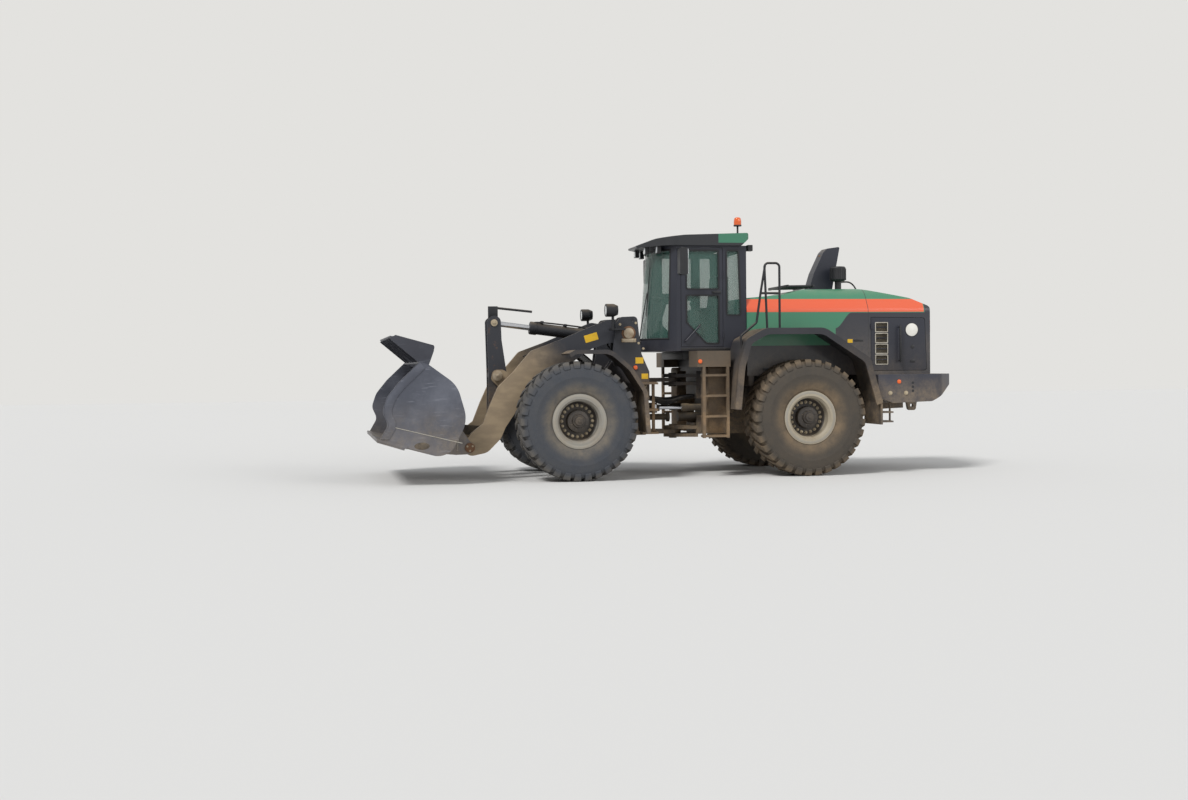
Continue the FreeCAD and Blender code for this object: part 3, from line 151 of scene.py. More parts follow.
# Hood paint: green above and below an orange band, the rear lower corner anthracite with a rounded front.
def hoodPaint():
    setting = {"bandLow": 2.435, "bandHigh": 2.635, "bandEnd": -3.79, "darkLow": 2.19, "darkHigh": 2.425, "seam": -2.885}
    material, tree, shader, place = startMaterial("green two-pack paint with orange band",
                                                  {"Roughness": 0.33, "Coat Weight": 0.35, "Coat Roughness": 0.12})
    point = place.outputs["Object"]
    dust, axes = dustFactor(tree, place, 0.22, 0.16, 1.4, 2.5)
    x, y, z = axes.outputs
    width = addNode(tree, "Math", {"operation": "ABSOLUTE"}, {0: y})
    above = addNode(tree, "Math", larger, {0: z, 1: setting["bandLow"]})
    under = addNode(tree, "Math", smaller, {0: z, 1: setting["bandHigh"]})
    before = addNode(tree, "Math", larger, {0: x, 1: setting["bandEnd"]})
    onSide = addNode(tree, "Math", larger, {0: width, 1: 0.60})
    band = addNode(tree, "Math", multiply, {0: above, 1: under})
    band = addNode(tree, "Math", multiply, {0: band, 1: before})
    band = addNode(tree, "Math", multiply, {0: band, 1: onSide})
    behind = addNode(tree, "Math", smaller, {0: x, 1: -2.36})
    rise = addNode(tree, "MapRange", smooth, {0: x, 1: -2.36, 2: -2.62, 3: setting["darkLow"], 4: setting["darkHigh"]})
    below = addNode(tree, "Math", smaller, {0: z, 1: rise})
    corner = addNode(tree, "Math", multiply, {0: behind, 1: below})
    tailX = addNode(tree, "Math", smaller, {0: x, 1: -3.80})
    tailZ = addNode(tree, "Math", smaller, {0: z, 1: 2.62})
    tail = addNode(tree, "Math", multiply, {0: tailX, 1: tailZ})
    seam = addNode(tree, "Math", {"operation": "COMPARE"}, {0: x, 1: setting["seam"], 2: 0.004})
    inArch = addNode(tree, "Math", smaller, {0: z, 1: 1.93})
    dark = addNode(tree, "Math", most, {0: corner, 1: tail})
    dark = addNode(tree, "Math", most, {0: dark, 1: inArch})
    color = addNode(tree, "Mix", colors, {0: band, 6: linearColor("#3d8062"), 7: linearColor("#df5d39")})
    color = addNode(tree, "Mix", colors, {0: dark, 6: color, 7: linearColor("#292b34")})
    color = addNode(tree, "Mix", colors, {0: seam, 6: color, 7: linearColor("#1d2024")})
    color = addNode(tree, "Mix", colors, {0: dust, 6: color, 7: linearColor("#a8957a")})
    rough = addNode(tree, "Math", multiplyAdd, {0: dust, 1: 0.45, 2: 0.33})
    peel = addNode(tree, "TexNoise", None, {"Vector": point, "Scale": 150.0, "Detail": 2.0})
    finishMaterial(tree, shader, color, rough, addNode(tree, "Math", {"operation": "SUBTRACT"}, {0: peel, 1: seam}),
                   0.06, 0.002)
    return material


# Roof: moulded black, its rear half green paint, dusty on top.
def roofPaint():
    material, tree, shader, place = startMaterial("black and green roof paint", {"Roughness": 0.45, "Coat Weight": 0.2})
    point = place.outputs["Object"]
    dust, axes = dustFactor(tree, place, 0.05, 0.3, 1.0, 2.0)
    rear = addNode(tree, "Math", smaller, {0: axes.outputs[0], 1: -0.52})
    top = addNode(tree, "Math", larger, {0: axes.outputs[2], 1: 3.47})
    green = addNode(tree, "Math", multiply, {0: rear, 1: top})
    color = addNode(tree, "Mix", colors, {0: green, 6: linearColor("#1d1f24"), 7: linearColor("#37745a")})
    color = addNode(tree, "Mix", colors, {0: dust, 6: color, 7: linearColor("#9c8d76")})
    peel = addNode(tree, "TexNoise", None, {"Vector": point, "Scale": 160.0, "Detail": 2.0})
    finishMaterial(tree, shader, color, None, peel, 0.08, 0.001)
    return material


# Lift arm paint: dark at the pivot and along the top, covered in pale rubbed dust towards the bucket.
def armPaint():
    material, tree, shader, place = startMaterial("anthracite paint fading to dust", {"Roughness": 0.6})
    point = place.outputs["Object"]
    dust, axes = dustFactor(tree, place, 0.5, 0.5, 0.3, 2.0)
    x, y, z = axes.outputs
    # low and forward is dusty: the way runs along the arm, from its pivot to its nose
    drop = addNode(tree, "Math", multiply, {0: z, 1: -1.15})
    along = addNode(tree, "Math", add, {0: x, 1: drop})
    cloud = addNode(tree, "TexNoise", None, {"Vector": point, "Scale": 2.4, "Detail": 6.0, "Roughness": 0.7})
    broken = addNode(tree, "Math", multiplyAdd, {0: cloud, 1: 1.0, 2: along})
    cover = addNode(tree, "MapRange", smooth, {0: broken, 1: -0.05, 2: 1.15})
    streak = addNode(tree, "Mapping", None, {"Vector": point, "Rotation": (0, 0.75, 0), "Scale": (1.5, 3.0, 3.5)})
    rubbed = addNode(tree, "TexNoise", None, {"Vector": streak, "Scale": 2.0, "Detail": 5.0})
    wear = addNode(tree, "MapRange", smooth, {0: rubbed, 1: 0.42, 2: 0.66})
    dusty = addNode(tree, "Mix", colors, {0: wear, 6: linearColor("#8d7c65"), 7: linearColor("#a08d72")})
    color = addNode(tree, "Mix", colors, {0: cover, 6: linearColor("#2b2d34"), 7: dusty})
    color = addNode(tree, "Mix", colors, {0: addNode(tree, "Math", multiply, {0: dust, 1: 0.5}), 6: color,
                                          7: linearColor("#a8957a")})
    grain = addNode(tree, "TexNoise", None, {"Vector": point, "Scale": 60.0, "Detail": 4.0})
    finishMaterial(tree, shader, color, None, addNode(tree, "Math", add, {0: grain, 1: cover}), 0.16, 0.003)
    return material


# Bell crank: anthracite with rust where the paint has chipped, dusty at its foot.
def crankPaint():
    material, tree, shader, place = startMaterial("anthracite paint, chipped to rust", {"Roughness": 0.55})
    point = place.outputs["Object"]
    dust, axes = dustFactor(tree, place, 0.9, 0.5, 0.6, 1.7)
    chips = addNode(tree, "TexNoise", None, {"Vector": point, "Scale": 9.0, "Detail": 8.0, "Roughness": 0.75})
    rust = addNode(tree, "MapRange", smooth, {0: chips, 1: 0.56, 2: 0.66})
    part = addNode(tree, "Math", multiply, {0: rust, 1: 0.75})
    color = addNode(tree, "Mix", colors, {0: part, 6: linearColor("#2a2c33"), 7: linearColor("#6a4c38")})
    color = addNode(tree, "Mix", colors, {0: dust, 6: color, 7: linearColor("#95826a")})
    finishMaterial(tree, shader, color, None, rust, 0.25, 0.003)
    return material


# Bucket: rolled wear plate, paint gone, blue grey with scratches along the load's path and dust in the corners.
def bucketSteel():
    material, tree, shader, place = startMaterial("worn wear plate", {"Metallic": 0.3, "Roughness": 0.5})
    point = place.outputs["Object"]
    dust, axes = dustFactor(tree, place, 0.6, 0.3, 0.25, 1.3)
    stretch = addNode(tree, "Mapping", None, {"Vector": point, "Scale": (2.0, 40.0, 14.0), "Rotation": (0, 0.6, 0)})
    scratch = addNode(tree, "TexNoise", None, {"Vector": stretch, "Scale": 2.4, "Detail": 5.0})
    cloud = addNode(tree, "TexNoise", None, {"Vector": point, "Scale": 1.7, "Detail": 5.0, "Roughness": 0.65})
    worn = addNode(tree, "MapRange", smooth, {0: cloud, 1: 0.35, 2: 0.7})
    color = addNode(tree, "Mix", colors, {0: worn, 6: linearColor("#4d505a"), 7: linearColor("#646771")})
    lines = addNode(tree, "MapRange", smooth, {0: scratch, 1: 0.58, 2: 0.75})
    color = addNode(tree, "Mix", colors, {0: lines, 6: color, 7: linearColor("#70737d")})
    upper = addNode(tree, "MapRange", smooth, {0: axes.outputs[2], 1: 1.66, 2: 1.80})
    color = addNode(tree, "Mix", colors, {0: addNode(tree, "Math", multiply, {0: upper, 1: 0.75}), 6: color,
                                          7: linearColor("#34353c")})
    color = addNode(tree, "Mix", colors, {0: dust, 6: color, 7: linearColor("#9a8a72")})
    spots = addNode(tree, "TexNoise", None, {"Vector": point, "Scale": 7.5, "Detail": 7.0, "Roughness": 0.75})
    rust = addNode(tree, "MapRange", smooth, {0: spots, 1: 0.64, 2: 0.8})
    color = addNode(tree, "Mix", colors, {0: addNode(tree, "Math", multiply, {0: rust, 1: 0.4}), 6: color,
                                          7: linearColor("#7a5a40")})
    finishMaterial(tree, shader, color, None, addNode(tree, "Math", add, {0: scratch, 1: spots}), 0.2, 0.002)
    return material


# the distance from a wheel's axis, for patterns that run round it
def wheelRadius(tree, place, centre):
    shift = addNode(tree, "Mapping", None, {"Vector": place.outputs["Object"], "Location": [-c for c in centre]})
    flat = addNode(tree, "VectorMath", multiply, {0: shift, 1: (1, 0, 1)})
    return addNode(tree, "VectorMath", {"operation": "LENGTH"}, {0: flat})


# Cured rubber: dull blue grey, brown dust pressed into the tread and the ring at the rim.
def tyreRubber(name, centre, sideHex, wornHex, dustHex, cover):
    material, tree, shader, place = startMaterial(name, {"Roughness": 0.85, "IOR": 1.52, "Specular IOR Level": 0.25})
    point = place.outputs["Object"]
    radius = wheelRadius(tree, place, centre)
    cloud = addNode(tree, "TexNoise", None, {"Vector": point, "Scale": 5.0, "Detail": 7.0, "Roughness": 0.7})
    patches = addNode(tree, "MapRange", smooth, {0: cloud, 1: 0.3, 2: 0.72})
    grit = addNode(tree, "TexNoise", None, {"Vector": point, "Scale": 60.0, "Detail": 4.0, "Roughness": 0.7})
    inner = addNode(tree, "MapRange", smooth, {0: radius, 1: 0.60, 2: 0.43})
    tread = addNode(tree, "MapRange", smooth, {0: radius, 1: 0.76, 2: 0.845})
    ring = addNode(tree, "Math", most, {0: addNode(tree, "Math", multiply, {0: inner, 1: 0.75}),
                                        1: addNode(tree, "Math", multiply, {0: tread, 1: cover})})
    dusty = addNode(tree, "Math", add, {0: ring, 1: 0.16})
    broken = addNode(tree, "Math", multiplyAdd, {0: patches, 1: 0.7, 2: 0.4})
    mud = addNode(tree, "Math", {"operation": "MULTIPLY", "use_clamp": True}, {0: dusty, 1: broken})
    color = addNode(tree, "Mix", colors, {0: grit, 6: linearColor(sideHex), 7: linearColor(wornHex)})
    color = addNode(tree, "Mix", colors, {0: mud, 6: color, 7: linearColor(dustHex)})
    finishMaterial(tree, shader, color, None, addNode(tree, "Math", add, {0: grit, 1: mud}), 0.25, 0.004)
    return material


# Rim: beige paint outside, the deep hub in the middle black, mud in the well.
def rimPaint(name, centre, colorHex):
    material, tree, shader, place = startMaterial(name, {"Roughness": 0.55})
    point = place.outputs["Object"]
    dust, axes = dustFactor(tree, place, 0.6, 0.4, 0.2, 2.4)
    radius = wheelRadius(tree, place, centre)
    hub = addNode(tree, "MapRange", smooth, {0: radius, 1: 0.292, 2: 0.276})
    color = addNode(tree, "Mix", colors, {0: hub, 6: linearColor(colorHex), 7: linearColor("#262527")})
    part = addNode(tree, "Math", multiplyAdd, {0: hub, 1: -0.35, 2: 0.85})
    color = addNode(tree, "Mix", colors, {0: addNode(tree, "Math", multiply, {0: dust, 1: part}), 6: color,
                                          7: linearColor("#87765f")})
    grain = addNode(tree, "TexNoise", None, {"Vector": point, "Scale": 140.0, "Detail": 3.0})
    finishMaterial(tree, shader, color, None, addNode(tree, "Math", add, {0: grain, 1: dust}), 0.15, 0.002)
    return material


# One colour with specks of another, and a fine grain
def plain(name, colorHex, roughness, metallic=0.0, grain=120.0, depth=0.08, specks=None, coat=0.0):
    material, tree, shader, place = startMaterial(name, {"Roughness": roughness, "Metallic": metallic, "Coat Weight": coat})
    point = place.outputs["Object"]
    base = linearColor(colorHex)
    other = linearColor(specks) if specks else tuple(c * 0.75 for c in base[:3]) + (1,)
    cloud = addNode(tree, "TexNoise", None, {"Vector": point, "Scale": 6.0, "Detail": 6.0, "Roughness": 0.7})
    spots = addNode(tree, "MapRange", smooth, {0: cloud, 1: 0.4, 2: 0.8})
    color = addNode(tree, "Mix", colors, {0: spots, 6: base, 7: other})
    fine = addNode(tree, "TexNoise", None, {"Vector": point, "Scale": grain, "Detail": 3.0})
    finishMaterial(tree, shader, color, None, fine, depth, 0.001)
    return material


chromeRod = plain("hard chromed rod", "#c9cbd0", 0.14, 1.0, 300.0, 0.02)
pinSteel = plain("greased steel pin", "#a79a86", 0.4, 0.6, 90.0, 0.1, "#7b5b3f")
rustySteel = plain("rusty steel", "#7a5940", 0.7, 0.3, 80.0, 0.3, "#4d3a2d")
nutSteel = plain("zinc plated nuts, dusty", "#b3a58b", 0.6, 0.1, 120.0, 0.2, "#80705a")
weldSteel = plain("weld bead, rubbed bright", "#b9b4a8", 0.45, 0.5, 220.0, 0.4, "#958c7d")
blackPlastic = plain("moulded ABS, black", "#1a1b1e", 0.45, specks="#26262a")
hoseRubber = plain("hydraulic hose rubber", "#1f2023", 0.55, 0.0, 240.0, 0.2, "#5e5547")
sealRubber = plain("EPDM window seal", "#15161a", 0.6)
yellowPlate = plain("yellow warning plate, blank", "#dfb21f", 0.45, 0.0, 60.0, 0.03, "#c39a25")
whitePlate = plain("white enamel disc, blank", "#e8e6de", 0.4, 0.0, 60.0, 0.02, "#d8d4c8")
orangeLens = plain("amber acrylic lens", "#e8641d", 0.15, 0.0, 200.0, 0.1, "#c9500f", 0.6)
redLens = plain("red acrylic lens", "#a51e1a", 0.15, 0.0, 200.0, 0.1, "#84120f", 0.6)
lampGlass = plain("lamp lens", "#d7dbdc", 0.1, 0.3, 220.0, 0.25, "#b9bec2", 0.7)
mirrorGlass = plain("silvered mirror glass", "#cfd4d6", 0.03, 1.0, 20.0, 0.0)
wireMesh = plain("galvanised wire mesh, dusty", "#8b8271", 0.5, 0.5, 150.0, 0.1, "#5f574a")


# Seat cloth: plain weave, its threads drawn 4 mm apart so that they show.
def seatWeave():
    material, tree, shader, place = startMaterial("woven seat cloth", {"Roughness": 0.9, "Sheen Weight": 0.4})
    point = place.outputs["Object"]
    weave = addNode(tree, "TexVoronoi", None, {"Vector": point, "Scale": 250.0, "Randomness": 0.1})
    color = addNode(tree, "Mix", colors, {0: weave, 6: linearColor("#31333b"), 7: linearColor("#1b1c21")})
    finishMaterial(tree, shader, color, None, weave, 0.5, 0.001)
    return material


# Tempered glass with a faint green tint, dusty in patches.
def tintedGlass():
    material, tree, shader, place = startMaterial("tempered glass, green tint",
                                                  {"Roughness": 0.04, "IOR": 1.45, "Alpha": 0.34, "Specular IOR Level": 0.9})
    point = place.outputs["Object"]
    cloud = addNode(tree, "TexNoise", None, {"Vector": point, "Scale": 3.0, "Detail": 6.0, "Roughness": 0.7})
    dusty = addNode(tree, "MapRange", smooth, {0: cloud, 1: 0.5, 2: 0.85})
    color = addNode(tree, "Mix", colors, {0: addNode(tree, "Math", multiply, {0: dusty, 1: 0.3}),
                                          6: linearColor("#55796f"), 7: linearColor("#8b9085")})
    tree.links.new(color.outputs[2], shader.inputs["Base Color"])
    return material


cabGlass = tintedGlass()
seatCloth = seatWeave()
look = {
    "rear_axle": castSteel, "front_axle": castSteel, "rear_frame": lowAnthracitePaint, "front_frame": lowAnthracitePaint,
    "counterweight": counterweightPaint, "gearbox": castSteel, "engine_block": castSteel, "cooling_pack": castSteel,
    "hood": hoodPaint(), "side_door_left": anthracitePaint, "side_door_right": anthracitePaint,
    "rear_grille": anthracitePaint, "rear_fenders": fenderPlastic, "front_fenders": fenderPlastic,
    "access_steps": stepSteel, "handrails": blackPaint, "cab_shell": anthracitePaint, "cab_glass": cabGlass,
    "cab_door": anthracitePaint, "door_glass": cabGlass, "cab_roof": roofPaint(), "beacon": orangeLens,
    "work_lamps": blackPlastic, "mirrors": blackPlastic, "seat_base": blackPlastic, "seat_cushion": seatCloth,
    "steering_column": blackPlastic, "exhaust_cowl": anthracitePaint, "intake_precleaner": blackPlastic,
    "front_steps": stepSteel, "headlamps": blackPaint, "boom": armPaint(), "bucket_pins": pinSteel,
    "crank_pin": pinSteel, "bellcrank": crankPaint(), "link_pin": pinSteel, "bucket_link": castSteel,
    "bucket": bucketSteel(), "tilt_barrel": blackPaint, "tilt_rod": chromeRod,
}
rubber = {"front": ("#353940", "#484d55", "#756d61", 0.42), "rear": ("#3b3936", "#4d4944", "#7b6a55", 0.6)}
for name, side in sides:
    look["lift_barrel_" + name] = blackPaint
    look["lift_rod_" + name] = chromeRod
    look["steer_barrel_" + name] = castSteel
    look["steer_rod_" + name] = chromeRod
    for end, x in (("front", 1.725), ("rear", -1.725)):
        place = (x, side * 1.15, 0.86)
        look["tyre_%s_%s" % (end, name)] = tyreRubber("tyre rubber %s %s" % (end, name), place, *rubber[end])
        look["rim_%s_%s" % (end, name)] = rimPaint("rim paint %s %s" % (end, name), place,
                                                       "#8d8b84" if end == "front" else "#a89f8c")
for name, material in look.items():
    nodes[name].data.materials.clear()
    nodes[name].data.materials.append(material)
print("materials made")


# a finished mesh as a piece on a body, its sharp edges eased first where a width is given
def placePiece(name, mesh, material, body, bevelWidth=0.0, smoothAngle=35, replaces=(), segments=2):
    if bevelWidth:
        bmesh.ops.remove_doubles(mesh, verts=mesh.verts, dist=1e-5)
        mesh.normal_update()
        sharp = [edge for edge in mesh.edges if edge.is_manifold and edge.calc_face_angle(0) > math.radians(28)]
        bmesh.ops.bevel(mesh, geom=sharp, offset=bevelWidth, offset_type="OFFSET", affect="EDGES", segments=segments,
                        profile=0.5, material=-1, clamp_overlap=True)
    data = bpy.data.meshes.new(name)
    mesh.to_mesh(data)
    mesh.free()
    for face in data.polygons:
        face.use_smooth = True
    data.set_sharp_from_angle(angle=math.radians(smoothAngle))
    data.materials.append(material)
    piece = bpy.data.objects.new(name, data)
    bpy.context.scene.collection.objects.link(piece)
    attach(piece, body)
    if replaces:
        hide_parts(*replaces)
    return piece


def addBlock(mesh, low, high, turn=None):
    made = bmesh.ops.create_cube(mesh, size=1.0)["verts"]
    middle = (Vector(low) + Vector(high)) / 2
    bmesh.ops.scale(mesh, vec=[abs(b - a) for a, b in zip(low, high)], verts=made)
    if turn:
        bmesh.ops.rotate(mesh, matrix=Euler(turn).to_matrix(), verts=made)
    bmesh.ops.translate(mesh, vec=middle, verts=made)
    return made


def addRod(mesh, start, end, radius, sides=14, farRadius=None):
    way = Vector(end) - Vector(start)
    made = bmesh.ops.create_cone(mesh, cap_ends=True, cap_tris=False, segments=sides, radius1=radius,
                                 radius2=radius if farRadius is None else farRadius, depth=way.length)["verts"]
    bmesh.ops.rotate(mesh, matrix=way.to_track_quat("Z", "Y").to_matrix(), verts=made)
    bmesh.ops.translate(mesh, vec=(Vector(start) + Vector(end)) / 2, verts=made)
    return made


# a hexagon head on its washer, standing on a face that looks along way
def addBolt(mesh, place, way, radius=0.013):
    start, way = Vector(place), Vector(way).normalized()
    addRod(mesh, start - way * 0.002, start + way * radius * 0.25, radius * 1.5, 12)
    addRod(mesh, start, start + way * radius * 0.9, radius, 6)


# a flat outline in the X-Z plane, drawn out from one Y to another
def addPlate(mesh, corners, nearY, farY):
    made = [mesh.verts.new((x, nearY, z)) for x, z in corners]
    face = mesh.faces.new(made)
    grown = bmesh.ops.extrude_face_region(mesh, geom=[face])
    moved = [item for item in grown["geom"] if isinstance(item, bmesh.types.BMVert)]
    bmesh.ops.translate(mesh, vec=(0, farY - nearY, 0), verts=moved)
    bmesh.ops.recalc_face_normals(mesh, faces=mesh.faces)
    return made + moved


# a ring round an outline in the X-Z plane, its corners rounded, drawn out from one Y to another
def addFrame(mesh, corners, nearY, farY, wide, rounding=0.035):
    made = [mesh.verts.new((x, nearY, z)) for x, z in corners]
    mesh.faces.new(made)
    rounded = bmesh.ops.bevel(mesh, geom=made, offset=rounding, offset_type="OFFSET", affect="VERTICES", segments=4,
                              profile=0.5, material=-1, clamp_overlap=True)
    face = rounded["verts"][0].link_faces[0]
    ring = bmesh.ops.inset_region(mesh, faces=[face], thickness=wide, use_boundary=True, use_even_offset=True)["faces"]
    bmesh.ops.delete(mesh, geom=[face], context="FACES_ONLY")
    grown = bmesh.ops.extrude_face_region(mesh, geom=ring)
    moved = [item for item in grown["geom"] if isinstance(item, bmesh.types.BMVert)]
    bmesh.ops.translate(mesh, vec=(0, farY - nearY, 0), verts=moved)
    bmesh.ops.recalc_face_normals(mesh, faces=mesh.faces)


# a closed section (radius, along) spun a full turn about an axis through a point
def addSpin(mesh, section, centre, axis="Y", steps=48):
    made = [mesh.verts.new((radius, 0, along)) for radius, along in section]
    edges = [mesh.edges.new((made[i], made[(i + 1) % len(made)])) for i in range(len(made))]
    before = set(mesh.verts) - set(made)
    bmesh.ops.spin(mesh, geom=made + edges, cent=(0, 0, 0), axis=(0, 0, 1), angle=2 * math.pi, steps=steps,
                   use_merge=True)
    found = [vert for vert in mesh.verts if vert not in before]
    turn = {"X": Matrix.Rotation(math.pi / 2, 3, "Y"), "Y": Matrix.Rotation(-math.pi / 2, 3, "X"), "Z": Matrix.Identity(3)}
    bmesh.ops.rotate(mesh, matrix=turn[axis], verts=found)
    bmesh.ops.translate(mesh, vec=centre, verts=found)
    bmesh.ops.recalc_face_normals(mesh, faces=mesh.faces)
    return found


# round bars along points, their bends rounded by a NURBS curve; bend names two bodies and the stretch between them, but
# only whether it is given is read, and then the tube is put on no body
def makeTube(name, routes, radius, material, body=None, bend=None, sides=8):
    curve = bpy.data.curves.new(name, "CURVE")
    curve.dimensions = "3D"
    curve.bevel_depth = radius
    curve.bevel_resolution = sides // 4
    curve.resolution_u = 5
    curve.use_fill_caps = True
    for points in routes:
        line = curve.splines.new("NURBS")
        line.points.add(len(points) - 1)
        for point, place in zip(line.points, points):
            point.co = (*place, 1)
        line.order_u = 3
        line.use_endpoint_u = True
    raw = bpy.data.objects.new(name + "Curve", curve)
    bpy.context.scene.collection.objects.link(raw)
    bpy.context.view_layer.update()
    data = bpy.data.meshes.new_from_object(raw.evaluated_get(bpy.context.evaluated_depsgraph_get()))
    data.name = name
    bpy.data.objects.remove(raw)
    bpy.data.curves.remove(curve)
    for face in data.polygons:
        face.use_smooth = True
    data.materials.clear()
    data.materials.append(material)
    piece = bpy.data.objects.new(name, data)
    bpy.context.scene.collection.objects.link(piece)
    if bend:
        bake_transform(piece)
    else:
        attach(piece, body)
    return piece


# Loader tyre: a wide carcass with slanted lugs whose shoulders wrap down the sidewall.
def makeTyre(end, side, sign, x):
    size = {"lugs": 33, "lugDepth": 0.036, "crown": 0.86, "lugWidth": 0.104, "slant": 0.085, "halfTread": 0.322,
            "steps": 96}
    floorRadius = size["crown"] - size["lugDepth"]
    half = [(0.3190, 0.262), (0.352, 0.268), (0.398, 0.268), (0.410, 0.280), (0.425, 0.296), (0.436, 0.298),
            (0.448, 0.304), (0.505, 0.327), (0.565, 0.3345), (0.625, 0.3352), (0.632, 0.3372), (0.640, 0.3352),
            (0.700, 0.331), (0.752, 0.322), (0.790, 0.306), (0.816, 0.280), (floorRadius, 0.235), (floorRadius + 0.002, 0.10)]
    section = half + [(radius, -along) for radius, along in reversed(half)]
    mesh = bmesh.new()
    addSpin(mesh, section, (0, 0, 0), "Y", size["steps"])
    step = 2 * math.pi / size["lugs"]
    for row in (1, -1):
        for i in range(size["lugs"]):
            middle = step * (i + (0.5 if row < 0 else 0.0))
            made = bmesh.ops.create_grid(mesh, x_segments=2, y_segments=8, size=0.5)["verts"]
            faces = list({face for vert in made for face in vert.link_faces})
            grown = bmesh.ops.extrude_face_region(mesh, geom=faces)
            top = [item for item in grown["geom"] if isinstance(item, bmesh.types.BMVert)]
            lifted = set(top)
            for vert in made + top:
                across, along = vert.co.x, vert.co.y + 0.5
                raised = vert in lifted
                # along runs from near the middle of the tread out over the shoulder and down the sidewall
                shoulder = max(0.0, (along - 0.66) / 0.34)
                flat = min(1.0, along / 0.66)
                y = 0.012 + flat * (size["halfTread"] - 0.042) + 0.040 * math.sin(shoulder * math.pi / 2)
                radius = size["crown"] - 0.004 * flat ** 2 - 0.020 * shoulder - 0.075 * shoulder ** 2
                if not raised:
                    radius -= 0.048 - 0.02 * shoulder
                    y -= 0.030 * shoulder
                width = size["lugWidth"] * (0.74 + 0.26 * flat) * (1.0 if not raised else 0.90)
                angle = middle + (across * width + size["slant"] * (1 - flat) * 1.2) / size["crown"]
                vert.co = (radius * math.cos(angle), row * y, radius * math.sin(angle))
    bmesh.ops.recalc_face_normals(mesh, faces=mesh.faces)
    bmesh.ops.translate(mesh, vec=(x, sign * 1.15, 0.86), verts=mesh.verts)
    return placePiece("tread_%s_%s" % (end, side), mesh, look["tyre_%s_%s" % (end, side)], "wheel_%s_%s" % (end, side),
                      smoothAngle=38, replaces=("tyre_%s_%s" % (end, side),))


def makeWheelDetails(end, side, sign, x):
    size = {"bolts": 20, "boltCircle": 0.225, "boltRadius": 0.017, "hubBolts": 8, "face": 0.074}
    body = "wheel_%s_%s" % (end, side)
    mesh = bmesh.new()
    for i in range(size["bolts"]):
        angle = 2 * math.pi * i / size["bolts"]
        across, up = size["boltCircle"] * math.cos(angle), size["boltCircle"] * math.sin(angle)
        base = sign * (1.15 + size["face"] - 0.002)
        addRod(mesh, (x + across, base, 0.86 + up), (x + across, base + sign * 0.008, 0.86 + up), 0.024, 12)
        addRod(mesh, (x + across, base, 0.86 + up), (x + across, base + sign * 0.030, 0.86 + up), size["boltRadius"], 6)
        addRod(mesh, (x + across, base, 0.86 + up), (x + across, base + sign * 0.044, 0.86 + up), 0.010, 8)
    placePiece("wheelNuts_%s_%s" % (end, side), mesh, nutSteel, body, 0.0015, segments=1)
    mesh = bmesh.new()
    for i in range(size["hubBolts"]):
        angle = 2 * math.pi * (i + 0.5) / size["hubBolts"]
        across, up = 0.118 * math.cos(angle), 0.118 * math.sin(angle)
        base = sign * (1.15 + 0.218)
        addRod(mesh, (x + across, base, 0.86 + up), (x + across, base + sign * 0.018, 0.86 + up), 0.010, 6)
    base = sign * (1.15 + 0.248)
    addRod(mesh, (x, base, 0.86), (x, base + sign * 0.016, 0.86), 0.062, 28, 0.056)
    addRod(mesh, (x, base, 0.86), (x, base + sign * 0.030, 0.86), 0.020, 6)
    placePiece("hubCap_%s_%s" % (end, side), mesh, hubPaint, body, 0.002)
    mesh = bmesh.new()
    outer = sign * (1.15 + 0.276)
    addSpin(mesh, [(0.352, 0.001), (0.372, 0.004), (0.384, 0.012), (0.372, 0.016), (0.350, 0.012)],
            (x, outer - sign * 0.008, 0.86), "Y", 72)
    placePiece("lockRing_%s_%s" % (end, side), mesh, lockPaint, body)
    makeTube("valve_%s_%s" % (end, side), [[(x + 0.285, sign * 1.21, 0.86), (x + 0.292, sign * 1.27, 0.86),
                                            (x + 0.305, sign * 1.33, 0.86)]], 0.007, pinSteel, body)


for end, x in (("front", 1.725), ("rear", -1.725)):
    for name, side in sides:
        makeTyre(end, name, side, x)
        makeWheelDetails(end, name, side, x)
print("wheels made")
